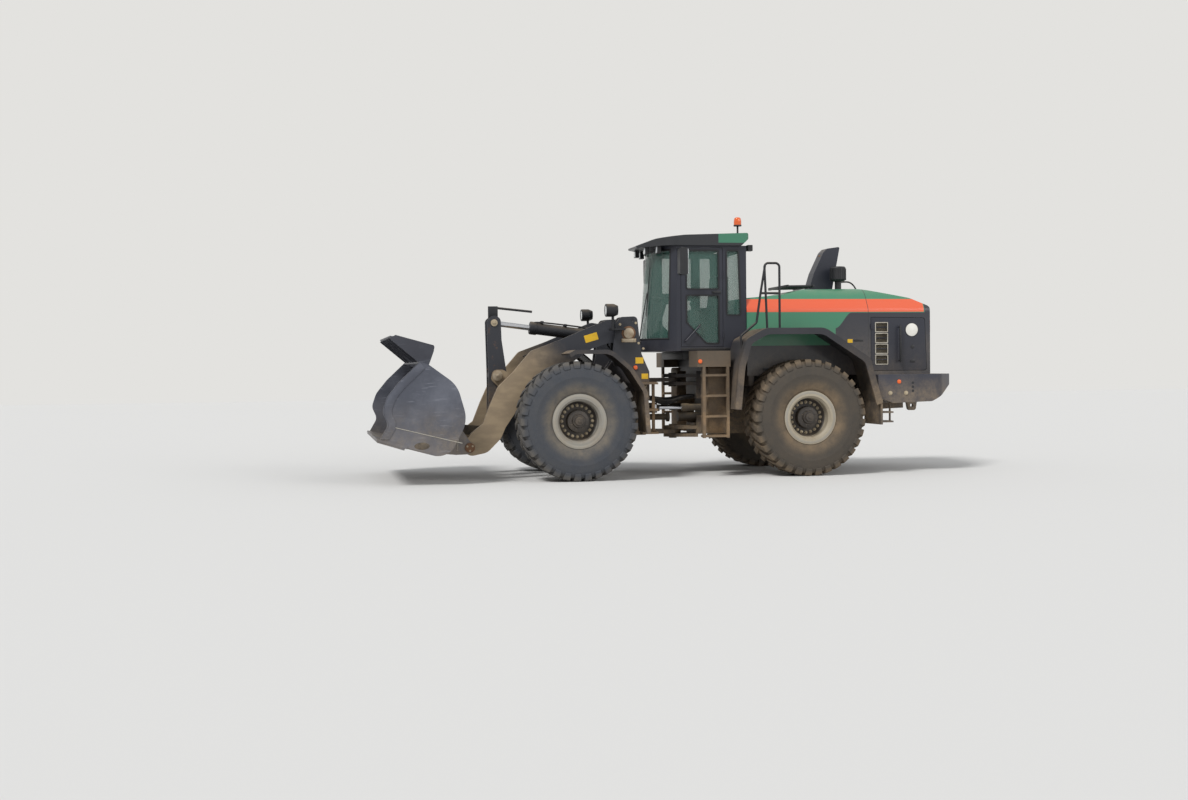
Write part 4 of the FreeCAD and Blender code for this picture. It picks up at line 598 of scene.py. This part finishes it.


# Bucket: the raised edge band of each cheek, a black oval disc on each cheek painted as the shade of a recess, weld
# beads, and bolt-on edge segments.
def makeBucketDetails():
    size = {"cheek": 1.585, "reach": 1.595, "segments": 6, "slope": math.atan2(0.118, 0.41)}
    outer = [(3.985, 1.722), (4.13, 1.59), (4.268, 1.462), (4.362, 1.355), (4.432, 1.255), (4.480, 1.140), (4.498, 1.045),
             (4.474, 0.955), (4.437, 0.880), (4.430, 0.840), (4.545, 0.665)]
    inner = [(4.430, 0.660), (4.345, 0.800), (4.335, 0.890), (4.372, 0.970), (4.392, 1.045), (4.376, 1.115),
             (4.335, 1.210), (4.270, 1.300), (4.185, 1.395), (4.05, 1.520), (3.925, 1.640)]
    mesh = bmesh.new()
    for name, sign in sides:
        addPlate(mesh, outer + inner, sign * 1.583, sign * size["reach"])
    placePiece("cheekBands", mesh, look["bucket"], "bucket_body", 0.003)
    mesh = bmesh.new()
    # black oval discs on each cheek: painted shade in place of a recess
    for name, sign in sides:
        for radius, depth in ((0.062, 0.0020), (0.050, 0.0045)):
            oval = addRod(mesh, (3.98, sign * 1.583, 0.56), (3.98, sign * (size["cheek"] + depth), 0.56), radius, 32)
            bmesh.ops.scale(mesh, vec=(1.7, 1, 0.8), space=Matrix.Translation((-3.98, 0, -0.56)), verts=oval)
    placePiece("cheekOvalPaintedShade", mesh, blackPaint, "bucket_body", 0.001)
    routes = []
    for name, sign in sides:
        routes.append([(4.41, sign * 1.586, 0.84), (3.92, sign * 1.586, 0.715), (3.42, sign * 1.586, 0.59)])
    makeTube("cheekWelds", routes, 0.005, weldSteel, "bucket_body")
    # guard, wrap and ears meet in weld beads
    routes = [[(3.885, y, 1.668) for y in (-1.32, -0.25)], [(3.885, y, 1.668) for y in (0.25, 1.32)]]
    for sign in (1, -1):
        for near in (0.552, 0.728):
            routes.append([(3.407, sign * near, 0.44), (3.372, sign * near, 0.80)])
    makeTube("bucketWelds", routes, 0.007, weldSteel, "bucket_body")
    mesh = bmesh.new()
    width = 2 * size["reach"] / size["segments"]
    normal = Vector((-math.sin(size["slope"]), 0, math.cos(size["slope"])))
    for i in range(size["segments"]):
        start = -size["reach"] + i * width
        addPlate(mesh, [(4.215, 0.528), (4.588, 0.6355), (4.597, 0.620), (4.225, 0.505)], start + 0.003,
                 start + width - 0.003)
    placePiece("edgeSegments", mesh, look["bucket"], "bucket_body", 0.003)
    mesh = bmesh.new()
    for i in range(size["segments"] * 3):
        y = -size["reach"] + (i + 0.5) * 2 * size["reach"] / (size["segments"] * 3)
        x = 4.31
        addBolt(mesh, (x, y, 0.570 + (x - 4.18) * 0.239), normal, 0.019)
    placePiece("edgeBolts", mesh, nutSteel, "bucket_body", 0.002, segments=1)


# Lift arms: caps and bolts on the pins, warning plates without words, grease pipes on the arms.
def makeArmDetails():
    hinge, pivot, crank = (3.22, 0.48), (0.85, 2.13), (2.74, 1.52)
    mesh = bmesh.new()
    bolts = bmesh.new()
    for name, sign in sides:
        face = sign * 0.731
        addRod(mesh, (hinge[0], face, hinge[1]), (hinge[0], face + sign * 0.014, hinge[1]), 0.072, 28)
        for k in range(3):
            turn = 2.1 * k + 0.5
            addBolt(bolts, (hinge[0] + 0.045 * math.cos(turn), face + sign * 0.014, hinge[1] + 0.045 * math.sin(turn)),
                    (0, sign, 0), 0.010)
    placePiece("hingeCaps", mesh, rustySteel, "bucket_pins_body", 0.003)
    placePiece("hingeCapBolts", bolts, nutSteel, "bucket_pins_body")
    mesh = bmesh.new()
    bolts = bmesh.new()
    rust = bmesh.new()
    for name, sign in sides:
        addRod(rust, (pivot[0], sign * 0.753, pivot[1]), (pivot[0], sign * 0.760, pivot[1]), 0.105, 36)
        addRod(mesh, (pivot[0], sign * 0.756, pivot[1]), (pivot[0], sign * 0.778, pivot[1]), 0.078, 32)
        addBlock(mesh, (pivot[0] - 0.11, sign * 0.756, pivot[1] - 0.135), (pivot[0] + 0.11, sign * 0.770, pivot[1] - 0.080))
        for k in (-0.085, 0.085):
            addBolt(bolts, (pivot[0] + k, sign * 0.770, pivot[1] - 0.108), (0, sign, 0), 0.013)
    placePiece("pivotRings", rust, rustySteel, "front_body", 0.002)
    placePiece("pivotCaps", mesh, pinSteel, "front_body", 0.003)
    placePiece("pivotBolts", bolts, nutSteel, "front_body")
    mesh = bmesh.new()
    for sign in (1, -1):
        addRod(mesh, (crank[0], sign * 0.222, crank[1]), (crank[0], sign * 0.236, crank[1]), 0.078, 28)
        addRod(mesh, (crank[0], sign * 0.230, crank[1]), (crank[0], sign * 0.244, crank[1]), 0.030, 6)
    placePiece("crankPinCaps", mesh, pinSteel, "crank_pin_body", 0.003)
    mesh = bmesh.new()
    for sign in (1, -1):
        addRod(mesh, (2.77, sign * 0.136, 2.31), (2.77, sign * 0.156, 2.31), 0.052, 24)
        addRod(mesh, (2.77, sign * 0.150, 2.31), (2.77, sign * 0.170, 2.31), 0.020, 6)
        addRod(mesh, (2.778, sign * 0.159, 0.67), (2.778, sign * 0.168, 0.67), 0.022, 6)
    placePiece("crankTopCaps", mesh, nutSteel, "bellcrank_body", 0.002)
    mesh = bmesh.new()
    for name, sign in sides:
        addBlock(mesh, (1.30, sign * 0.679, 2.015), (1.50, sign * 0.6825, 2.125), (0, math.radians(16), 0))
    placePiece("armPlates", mesh, yellowPlate, "boom_body")
    routes = []
    for sign in (1, -1):
        for k in (0, 0.03):
            routes.append([(1.34, sign * (0.585 - k), 2.258), (1.60, sign * (0.585 - k), 2.185), (1.88, sign * (0.585 - k), 2.06),
                           (2.24, sign * (0.585 - k), 1.93)])
    makeTube("armPipes", [[(x, y * 0.985, z - 0.12) for x, y, z in route] for route in routes], 0.009, castSteel, "boom_body")


# Tilt cylinder: marker bar, eye ring, and its two pressure pipes with clamps.
def makeTiltDetails():
    mesh = bmesh.new()
    addRod(mesh, (2.79, 0, 2.545), (2.175, 0, 2.479), 0.0178, 16)
    addBlock(mesh, (2.698, -0.027, 2.382), (2.842, 0.027, 2.562))
    placePiece("markerBar", mesh, blackPaint, "tilt_rod_body", 0.003)
    mesh = bmesh.new()
    addRod(mesh, (2.77, -0.0515, 2.31), (2.77, 0.0515, 2.31), 0.0865, 40)
    placePiece("rodEye", mesh, castSteel, "tilt_rod_body", 0.004)
    way = Vector((1.8, 0, 0.236)).normalized()
    side = Vector((-way.z, 0, way.x))
    base = Vector((0.97, 0, 2.074))
    routes = []
    for y, lift in ((0.045, 0.098), (-0.045, 0.098)):
        near = base + way * 0.19 + side * (lift + 0.012)
        far = base + way * (1.16 if y > 0 else 0.42) + side * (lift + 0.008)
        routes.append([tuple(near + Vector((-0.06, y, -0.03))), tuple(near + Vector((0, y, 0))), tuple(far + Vector((0, y, 0))),
                       tuple(far + way * 0.035 - side * 0.02 + Vector((0, y, 0)))])
    makeTube("tiltPipes", routes, 0.012, castSteel, "tilt_barrel_body")
    mesh = bmesh.new()
    for share in (0.36, 0.72, 1.08):
        middle = base + way * share + side * 0.105
        addBlock(mesh, tuple(middle - Vector((0.02, 0.075, 0.018))), tuple(middle + Vector((0.02, 0.075, 0.018))),
                 (0, -math.atan2(way.z, way.x), 0))
    for share in (1.16,):
        start = base + way * share
        addRod(mesh, start, start + way * 0.09, 0.0985, 40)
    placePiece("tiltClamps", mesh, blackPaint, "tilt_barrel_body", 0.003)
    mesh = bmesh.new()
    for k in range(8):
        turn = math.pi / 4 * k + 0.3
        spot = base + way * 1.252 + side * 0.075 * math.cos(turn) + Vector((0, 0.075 * math.sin(turn), 0))
        addBolt(mesh, spot, way, 0.008)
    placePiece("tiltHeadBolts", mesh, nutSteel, "tilt_barrel_body")


makeBucketDetails()
makeArmDetails()
makeTiltDetails()
print("bucket and arms finished")


# Hood: wire mesh behind the side vents, disc and plates without words, grips, lamps and roof fittings.
def makeHoodDetails():
    size = {"skin": 0.80, "vents": 4, "ventFront": -3.005, "ventRear": -3.19, "ventLow": 1.64, "ventStep": 0.165,
            "ventHigh": 0.13}
    for name, sign in sides:
        body = "side_door_%s_body" % name
        frame_ = bmesh.new()
        wires = bmesh.new()
        for i in range(size["vents"]):
            low = size["ventLow"] + i * size["ventStep"]
            high = low + size["ventHigh"]
            corners = [(size["ventRear"] - 0.012, low - 0.012), (size["ventFront"] + 0.012, low - 0.012),
                       (size["ventFront"] + 0.012, high + 0.012), (size["ventRear"] - 0.012, high + 0.012)]
            addFrame(frame_, corners, sign * 0.797, sign * 0.806, 0.013, 0.012)
            for k in range(10):
                x = size["ventRear"] + (k + 0.5) * 0.0185
                addRod(wires, (x, sign * 0.783, low - 0.004), (x, sign * 0.783, high + 0.004), 0.0022, 6)
            for k in range(7):
                z = low + (k + 0.5) * size["ventHigh"] / 7
                addRod(wires, (size["ventRear"] - 0.004, sign * 0.785, z), (size["ventFront"] + 0.004, sign * 0.785, z),
                       0.0022, 6)
        placePiece("ventFrames_%s" % name, frame_, weldSteel, body)
        placePiece("ventMesh_%s" % name, wires, wireMesh, body)
        mesh = bmesh.new()
        addRod(mesh, (-3.38, sign * 0.86, 1.672), (-3.38, sign * 0.86, 2.218), 0.0158, 18)
        addRod(mesh, (-3.60, sign * 0.799, 1.90), (-3.60, sign * 0.8045, 1.90), 0.030, 24)
        addBlock(mesh, (-3.64, sign * 0.799, 1.66), (-3.56, sign * 0.806, 1.70))
        placePiece("doorGrip_%s" % name, mesh, blackPlastic, body, 0.003)
        mesh = bmesh.new()
        addRod(mesh, (-3.59, sign * 0.7992, 2.16), (-3.59, sign * 0.8032, 2.16), 0.105, 64)
        placePiece("blankDisc_%s" % name, mesh, whitePlate, body, 0.001)
        mesh = bmesh.new()
        addSpin(mesh, [(0.099, -0.001), (0.107, -0.001), (0.107, 0.0048), (0.099, 0.0048)], (-3.59, sign * 0.8005, 2.16),
                "Y", 64)
        placePiece("discRim_%s" % name, mesh, blackPlastic, body)
    mesh = bmesh.new()
    for name, sign in sides:
        addBlock(mesh, (-2.63, sign * 0.799, 1.965), (-2.55, sign * 0.8025, 2.02))
    placePiece("hoodPlates", mesh, yellowPlate, "rear_body")
    mesh = bmesh.new()
    for name, sign in sides:
        addBlock(mesh, (-2.80, sign * 0.799, 1.985), (-2.65, sign * 0.806, 2.015))
        for x in (-2.10, -1.25):
            addBlock(mesh, (x - 0.05, sign * 0.799, 1.56), (x + 0.05, sign * 0.807, 1.60))
    grille = [(-1.68, 2.70), (-2.15, 2.77)]
    for k in range(12):
        y = -0.44 + k * 0.08
        addBlock(mesh, (-2.13, y - 0.012, 2.835), (-1.72, y + 0.012, 2.862), (0, 0.02, 0))
    for x in (-2.13, -1.72):
        addBlock(mesh, (x - 0.015, -0.47, 2.825), (x + 0.015, 0.47, 2.866))
    placePiece("hoodFittings", mesh, blackPlastic, "rear_body", 0.003)
    mesh = bmesh.new()
    for k in range(20):
        turn = 2 * math.pi * k / 20
        fin = addBlock(mesh, (-0.005, -0.004, 2.945), (0.005, 0.004, 3.12))
        bmesh.ops.rotate(mesh, matrix=Matrix.Rotation(turn, 3, "Z"), verts=fin)
        bmesh.ops.translate(mesh, vec=(-2.59 + 0.1215 * math.cos(turn), 0.30 + 0.1215 * math.sin(turn), 0), verts=fin)
    placePiece("precleanerFins", mesh, blackPlastic, "rear_body", 0.001, segments=1)
    mesh = bmesh.new()
    addRod(mesh, (-2.40, 0, 3.285), (-2.66, 0, 3.335), 0.070, 32)
    bore = addRod(mesh, (-2.655, 0, 3.334), (-2.664, 0, 3.336), 0.058, 32)
    placePiece("exhaustPipe", mesh, rustySteel, "rear_body", 0.003)
    makeTube("hoodTopRail", [[(-2.62, 0.30, 2.90), (-2.70, 0.12, 2.93), (-2.90, 0.12, 2.93), (-2.96, 0.12, 2.80)]], 0.012,
             blackPaint, "rear_body")
    for kind, material, low, high in (("tailLamps", redLens, 2.12, 2.24), ("turnLamps", orangeLens, 2.25, 2.31)):
        mesh = bmesh.new()
        for name, sign in sides:
            addBlock(mesh, (-3.904, sign * 0.700, low), (-3.888, sign * 0.775, high))
        placePiece(kind, mesh, material, "rear_body", 0.004)


# Cab: seals round every pane, wiper, handles, glass of mirrors and lamps, sill and pan below.
def makeCabDetails():
    quarter = [(-0.640, 2.380), (-0.640, 3.370), (-0.850, 3.370), (-0.880, 2.380)]
    doorTop = [(-0.020, 2.770), (-0.020, 3.370), (-0.540, 3.370), (-0.540, 2.770)]
    doorLow = [(-0.020, 2.280), (-0.020, 2.700), (-0.540, 2.700), (-0.540, 1.960), (-0.330, 1.960)]
    mesh = bmesh.new()
    leaf = bmesh.new()
    for name, sign in sides:
        addFrame(mesh, quarter, sign * 0.762, sign * 0.786, 0.022)
        for corners in (doorTop, doorLow):
            addFrame(leaf if sign > 0 else mesh, corners, sign * 0.762, sign * 0.786, 0.022)
    placePiece("sideSeals", mesh, sealRubber, "rear_body")
    placePiece("doorSeals", leaf, sealRubber, "cab_door_body")

    def frontX(y, z):
        sagitta = 0.40 - 0.13 * (z - 1.86) / 1.57
        radius = (0.78 ** 2 + sagitta ** 2) / (2 * sagitta)
        return 0.12 + sagitta - radius + math.sqrt(radius ** 2 - y ** 2)

    across = [-0.690 + k * 0.115 for k in range(13)]
    routes = [[(frontX(y, z) - 0.006, y, z) for y in across] for z in (2.045, 3.375)]
    routes += [[(frontX(y, 2.04 + k * 0.268) - 0.006, y, 2.04 + k * 0.268) for k in range(6)] for y in (-0.685, 0.685)]
    routes += [[(-0.962, -0.645, z), (-0.962, 0.645, z)] for z in (2.50, 3.36)]
    routes += [[(-0.962, y, 2.50), (-0.962, y, 3.36)] for y in (-0.64, 0.64)]
    makeTube("windscreenSeal", routes, 0.015, sealRubber, "rear_body")
    wiper = [[(frontX(0.05, 2.0) + 0.022, 0.05, 2.00), (frontX(0.12, 2.3) + 0.026, 0.12, 2.30),
              (frontX(0.22, 2.75) + 0.014, 0.22, 2.75)]]
    wiper.append([(frontX(0.22 + k * 0.006, z) + 0.006, 0.22 + k * 0.006, z) for k, z in enumerate((2.40, 2.60, 2.80, 3.00, 3.15))])
    makeTube("wiper", wiper, 0.008, blackPlastic, "rear_body")
    mesh = bmesh.new()
    addRod(mesh, (frontX(0.05, 2.0) - 0.01, 0.05, 2.0), (frontX(0.05, 2.0) + 0.03, 0.05, 2.0), 0.026, 20)
    for name, sign in sides:
        addBlock(mesh, (-0.94, sign * 0.779, 1.868), (0.06, sign * 0.786, 1.905))
        for x in (-0.90, -0.62, -0.34, -0.06):
            addBolt(mesh, (x, sign * 0.785, 1.886), (0, sign, 0), 0.010)
    placePiece("cabSill", mesh, blackPaint, "rear_body", 0.002)
    mesh = bmesh.new()
    addBlock(mesh, (-0.555, 0.779, 2.715), (-0.425, 0.800, 2.755))
    addRod(mesh, (-0.45, 0.79, 2.735), (-0.45, 0.812, 2.735), 0.016, 16)
    placePiece("doorLatch", mesh, blackPlastic, "cab_door_body", 0.004)
    mesh = bmesh.new()
    for name, sign in sides:
        addBlock(mesh, (0.036, sign * 1.032, 2.985), (0.0435, sign * 1.168, 3.345))
    placePiece("mirrorGlass", mesh, mirrorGlass, "rear_body", 0.002)
    mesh = bmesh.new()
    for y in (-0.56, -0.33, 0.33, 0.56):
        x = 0.370 if abs(y) > 0.4 else 0.500
        addBlock(mesh, (x - 0.002, y - 0.052, 3.333), (x + 0.006, y + 0.052, 3.422))
    for name, sign in sides:
        addBlock(mesh, (-1.096, sign * 0.593, 3.368), (-1.088, sign * 0.687, 3.442))
    placePiece("workLampLenses", mesh, lampGlass, "rear_body", 0.004)
    mesh = bmesh.new()
    addRod(mesh, (-0.93, 0.45, 3.600), (-0.93, 0.45, 3.762), 0.0145, 16)
    addRod(mesh, (-0.93, 0.45, 3.600), (-0.93, 0.45, 3.622), 0.040, 24)
    addRod(mesh, (-0.93, 0.45, 3.752), (-0.93, 0.45, 3.772), 0.061, 32)
    placePiece("beaconFoot", mesh, blackPlastic, "rear_body", 0.002)
    mesh = bmesh.new()
    for name, sign in sides:
        for x, top in ((-0.24, 2.56), (-0.30, 2.53)):
            addRod(mesh, (x, sign * 0.33, 2.478), (x + 0.02, sign * 0.33, top), 0.009, 10)
            addRod(mesh, (x + 0.02, sign * 0.33, top - 0.01), (x + 0.024, sign * 0.33, top + 0.05), 0.020, 16, 0.014)
        addBlock(mesh, (-0.60, sign * 0.265, 2.478), (-0.38, sign * 0.375, 2.520))
    placePiece("levers", mesh, blackPlastic, "rear_body", 0.006)
    mesh = bmesh.new()
    addBlock(mesh, (-0.94, -0.66, 1.742), (0.0, 0.66, 1.857))
    addBlock(mesh, (-0.80, -0.25, 1.585), (-0.45, 0.25, 1.80))
    for k in range(5):
        addBlock(mesh, (-0.78 + k * 0.065, -0.30, 1.60), (-0.74 + k * 0.065, 0.30, 1.66))
    placePiece("cabPan", mesh, castSteel, "rear_body", 0.006)


# Seat: a pad and a back, each crowned, drawn in along its sewn channels and swollen by cloth under pressure.
def makeSeat():
    setting = {"voxel": 0.011, "pressure": 4.0, "frames": 20, "most": 0.010, "seam": 0.007}
    pad = [(-0.665, 2.293), (-0.215, 2.293), (-0.192, 2.325), (-0.205, 2.398), (-0.56, 2.402), (-0.665, 2.38)]
    back = [(-0.672, 2.41), (-0.600, 2.41), (-0.672, 3.02), (-0.700, 3.035), (-0.765, 3.032)]
    for name, corners, replaced in (("seatPad", pad, ("seat_cushion",)), ("seatBack", back, ())):
        mesh = bmesh.new()
        addPlate(mesh, corners, -0.222, 0.222)
        bmesh.ops.bevel(mesh, geom=list(mesh.edges), offset=0.014, offset_type="OFFSET", affect="EDGES", segments=3,
                        profile=0.5, material=-1, clamp_overlap=True)
        data = bpy.data.meshes.new(name)
        mesh.to_mesh(data)
        mesh.free()
        piece = bpy.data.objects.new(name, data)
        bpy.context.scene.collection.objects.link(piece)
        remesh = piece.modifiers.new("remesh", "REMESH")
        remesh.mode = "VOXEL"
        remesh.voxel_size = setting["voxel"]
        bpy.context.view_layer.update()
        piece.data = bpy.data.meshes.new_from_object(piece.evaluated_get(bpy.context.evaluated_depsgraph_get()))
        piece.modifiers.clear()
        rest = [vert.co.copy() for vert in piece.data.vertices]
        cloth = piece.modifiers.new("cloth", "CLOTH")
        cloth.settings.use_pressure = True
        cloth.settings.uniform_pressure_force = setting["pressure"]
        cloth.settings.effector_weights.gravity = 0
        cloth.point_cache.frame_start = 1
        cloth.point_cache.frame_end = setting["frames"]
        for step in range(1, setting["frames"] + 1):
            bpy.context.scene.frame_set(step)
        swollen = piece.evaluated_get(bpy.context.evaluated_depsgraph_get()).to_mesh()
        moved = [vert.co.copy() for vert in swollen.vertices]
        piece.modifiers.clear()
        bpy.context.scene.frame_set(1)
        for vert, start, end in zip(piece.data.vertices, rest, moved):
            way = end - start
            vert.co = start + way * min(1.0, setting["most"] / max(way.length, 1e-9))
        low = Vector([min(point[k] for point in rest) for k in range(3)])
        high = Vector([max(point[k] for point in rest) for k in range(3)])
        for vert, start in zip(piece.data.vertices, rest):
            long = start.x if name == "seatPad" else start.z
            share = [abs(start.y - y) for y in (-0.13, 0.13)] + [abs(long - (2.72 if name == "seatBack" else -0.42))]
            near = max(0.0, 1 - min(share) / 0.016)
            inward = setting["seam"] * near * near * (3 - 2 * near)
            if name == "seatPad" and start.z > 2.36:
                vert.co.z -= inward
            if name == "seatBack":
                vert.co.x -= inward if start.x > -0.70 + (2.72 - start.z) * 0.1 else 0
        smooth_ = piece.modifiers.new("smooth", "SUBSURF")
        smooth_.levels = smooth_.render_levels = 1
        for face in piece.data.polygons:
            face.use_smooth = True
        piece.data.materials.clear()
        piece.data.materials.append(seatCloth)
        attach(piece, "rear_body")
        if replaced:
            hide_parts(*replaced)


makeHoodDetails()
makeCabDetails()
makeSeat()
print("hood and cab finished")


# Frames: side lamps, plates without words, tanks behind the ladders, cleats, bolts, and the hoses over the pivot.
def makeFrameDetails():
    mesh = bmesh.new()
    front = bmesh.new()
    for name, sign in sides:
        addRod(front, (0.75, sign * 0.754, 1.62), (0.75, sign * 0.776, 1.62), 0.034, 28, 0.028)
        addRod(mesh, (-0.10, sign * 1.268, 1.70), (-0.10, sign * 1.286, 1.70), 0.034, 28, 0.028)
        addRod(mesh, (-3.19, sign * 1.248, 1.37), (-3.19, sign * 1.262, 1.37), 0.034, 28, 0.028)
    placePiece("rearMarkers", mesh, orangeLens, "rear_body", 0.004)
    placePiece("frontMarkers", front, orangeLens, "front_body", 0.004)
    mesh = bmesh.new()
    for name, sign in sides:
        addBlock(mesh, (0.63, sign * 0.754, 1.68), (0.75, sign * 0.7575, 1.77))
        addBlock(mesh, (0.56, sign * 0.754, 1.45), (0.66, sign * 0.7575, 1.53))
    placePiece("towerPlates", mesh, yellowPlate, "front_body")
    mesh = bmesh.new()
    for name, sign in sides:
        addBlock(mesh, (-0.545, sign * 0.70, 0.64), (-0.255, sign * 1.115, 1.615))
    placePiece("sideTanks", mesh, stepSteel, "rear_body", 0.035, segments=3)
    mesh = bmesh.new()
    for name, sign in sides:
        for z in (0.62, 0.91, 1.21, 1.51):
            for k in range(11):
                x = -0.52 + k * 0.036
                addBlock(mesh, (x - 0.006, sign * 1.145, z - 0.001), (x + 0.006, sign * 1.262, z + 0.007))
    placePiece("ladderCleats", mesh, stepSteel, "rear_body")
    mesh = bmesh.new()
    for name, sign in sides:
        for z in (0.67, 1.01, 1.40):
            for k in range(6):
                x = 0.485 + k * 0.038
                addBlock(mesh, (x - 0.006, sign * 0.79, z - 0.001), (x + 0.006, sign * 0.965, z + 0.007))
    placePiece("stepCleats", mesh, stepSteel, "front_body")
    mesh = bmesh.new()
    for name, sign in sides:
        for x, z in ((0.60, 1.22), (0.60, 1.34), (0.63, 1.90), (0.70, 1.98), (1.22, 1.45), (1.12, 1.47), (0.98, 2.26), (0.74, 2.28)):
            addBolt(mesh, (x, sign * 0.755, z), (0, sign, 0), 0.013)
        for x in (1.03, 1.07):
            addBolt(mesh, (x, sign * 0.79, 1.71), (0, 0, 1), 0.012)
    placePiece("frontBolts", mesh, nutSteel, "front_body")
    mesh = bmesh.new()
    for name, sign in sides:
        for x in (-3.05, -3.30):
            addBolt(mesh, (x, sign * 1.249, 1.20), (0, sign, 0), 0.022)
        for x in (-0.86, -0.44):
            addBolt(mesh, (x, sign * 0.77, 1.72), (0, sign, 0), 0.015)
    placePiece("rearBolts", mesh, nutSteel, "rear_body")
    # black discs on the counterweight sides: painted shade in place of holes
    mesh = bmesh.new()
    for name, sign in sides:
        for z in (1.35, 1.29, 1.23):
            addRod(mesh, (-3.41, sign * 1.247, z), (-3.41, sign * 1.2512, z), 0.020, 20)
    placePiece("counterweightHolePaintedShade", mesh, blackPlastic, "rear_body")
    mesh = bmesh.new()
    for name, sign in sides:
        addSpin(mesh, [(0.070, 0.0), (0.092, 0.0), (0.092, 0.012), (0.070, 0.012)], (1.226, sign * 0.96, 2.46), "X", 40)
        for k in range(5):
            y = sign * 0.96 - 0.06 + k * 0.03
            addBlock(mesh, (1.062, y - 0.004, 2.40), (1.085, y + 0.004, 2.52))
    placePiece("headlampRims", mesh, blackPlastic, "front_body")
    mesh = bmesh.new()
    for name, sign in sides:
        addRod(mesh, (1.224, sign * 0.96, 2.46), (1.236, sign * 0.96, 2.46), 0.074, 40, 0.066)
    placePiece("headlampLenses", mesh, lampGlass, "front_body", 0.003)
    routes = []
    for k in range(8):
        y = -0.175 + k * 0.05
        sag = 0.06 + 0.035 * (k % 3)
        z = 1.16 + 0.03 * (k % 2)
        routes.append([(-0.34, y, z), (-0.16, y, z - 0.01), (0.10, y * 1.05, z - sag), (0.34, y, z - 0.02), (0.52, y, z)])
    makeTube("articulationHoses", routes, 0.019, hoseRubber, bend=("rear_body", "front_body", (-0.28, 0, 1.1), (0.46, 0, 1.1)))
    routes = []
    for k, y in enumerate((-0.14, -0.07, 0.07, 0.14)):
        routes.append([(0.56, y, 1.575), (0.62, y, 1.78), (0.70, y * 0.9, 1.92), (0.80, y * 0.7, 1.93)])
    makeTube("towerHoses", routes, 0.016, hoseRubber, "front_body")
    mesh = bmesh.new()
    for x, y in ((-0.34, 0), (0.52, 0)):
        addBlock(mesh, (x - 0.015, -0.21, 1.135), (x + 0.015, 0.21, 1.215))
    placePiece("hoseClampRear", mesh, castSteel, "rear_body", 0.003)


makeFrameDetails()
print("frames finished")


# Pale floor and world, a high sun and a weak one: a colour renders about as it is written.
def makeStage():
    setting = {"floorHex": "#d9d8d5", "worldHex": "#e3e2df", "size": 60.0, "cameraPlace": (5.582, 22.0, 1.608),
               "yaw": -11.183, "pitch": -1.215, "roll": -0.579, "focalPixels": 1470.0, "imageWidth": 1188, "sky": 0.55}
    mesh = bmesh.new()
    bmesh.ops.create_grid(mesh, x_segments=2, y_segments=2, size=setting["size"])
    data = bpy.data.meshes.new("floor")
    mesh.to_mesh(data)
    mesh.free()
    floor = bpy.data.objects.new("floor", data)
    bpy.context.scene.collection.objects.link(floor)
    material = bpy.data.materials.new("pale floor")
    material.use_nodes = True
    shader = material.node_tree.nodes["Principled BSDF"]
    shader.inputs["Base Color"].default_value = linearColor(setting["floorHex"])
    shader.inputs["Roughness"].default_value = 0.9
    shader.inputs["Specular IOR Level"].default_value = 0.1
    data.materials.append(material)
    world = bpy.data.worlds.new("studio")
    bpy.context.scene.world = world
    world.use_nodes = True
    tree = world.node_tree
    light = tree.nodes["Background"]
    light.inputs["Color"].default_value = (0.94, 0.96, 1.0, 1)
    light.inputs["Strength"].default_value = setting["sky"]
    seen = tree.nodes.new("ShaderNodeBackground")
    seen.inputs["Color"].default_value = linearColor(setting["worldHex"])
    path = addNode(tree, "LightPath")
    rays = addNode(tree, "Math", most, {0: path.outputs["Is Camera Ray"], 1: path.outputs["Is Glossy Ray"]})
    rays = addNode(tree, "Math", most, {0: rays, 1: path.outputs["Is Transmission Ray"]})
    both = addNode(tree, "MixShader", None, {0: rays, 1: light, 2: seen})
    tree.links.new(both.outputs[0], tree.nodes["World Output"].inputs["Surface"])
    suns = {"key": ((0.5, 0.45, 0.75), 2.1, 15), "fill": ((-0.6, 0.7, 0.4), 0.6, 30)}
    for name, (place, power, angle) in suns.items():
        light = bpy.data.lights.new(name, "SUN")
        light.energy = power
        light.angle = math.radians(angle)
        lamp = bpy.data.objects.new(name, light)
        lamp.rotation_euler = Vector(place).to_track_quat("Z", "Y").to_euler()
        bpy.context.scene.collection.objects.link(lamp)
    camera = bpy.data.cameras.new("camera")
    camera.sensor_width = 36.0
    camera.sensor_fit = "HORIZONTAL"
    camera.lens = 36.0 * setting["focalPixels"] / setting["imageWidth"]
    camera.clip_end = 200.0
    eye = bpy.data.objects.new("camera", camera)
    eye.location = setting["cameraPlace"]
    # the camera looks along -Y, turned by yaw towards -X, tipped by pitch and rolled
    yaw = math.radians(setting["yaw"])
    pitch = math.radians(setting["pitch"])
    forward = Vector((math.sin(yaw) * math.cos(pitch), -math.cos(yaw) * math.cos(pitch), math.sin(pitch)))
    turn = forward.to_track_quat("-Z", "Y").to_matrix() @ Matrix.Rotation(math.radians(setting["roll"]), 3, "Z")
    eye.rotation_euler = turn.to_euler()
    bpy.context.scene.collection.objects.link(eye)
    bpy.context.scene.camera = eye
    bpy.context.scene.view_settings.view_transform = "Standard"


makeStage()
print("stage and camera made")
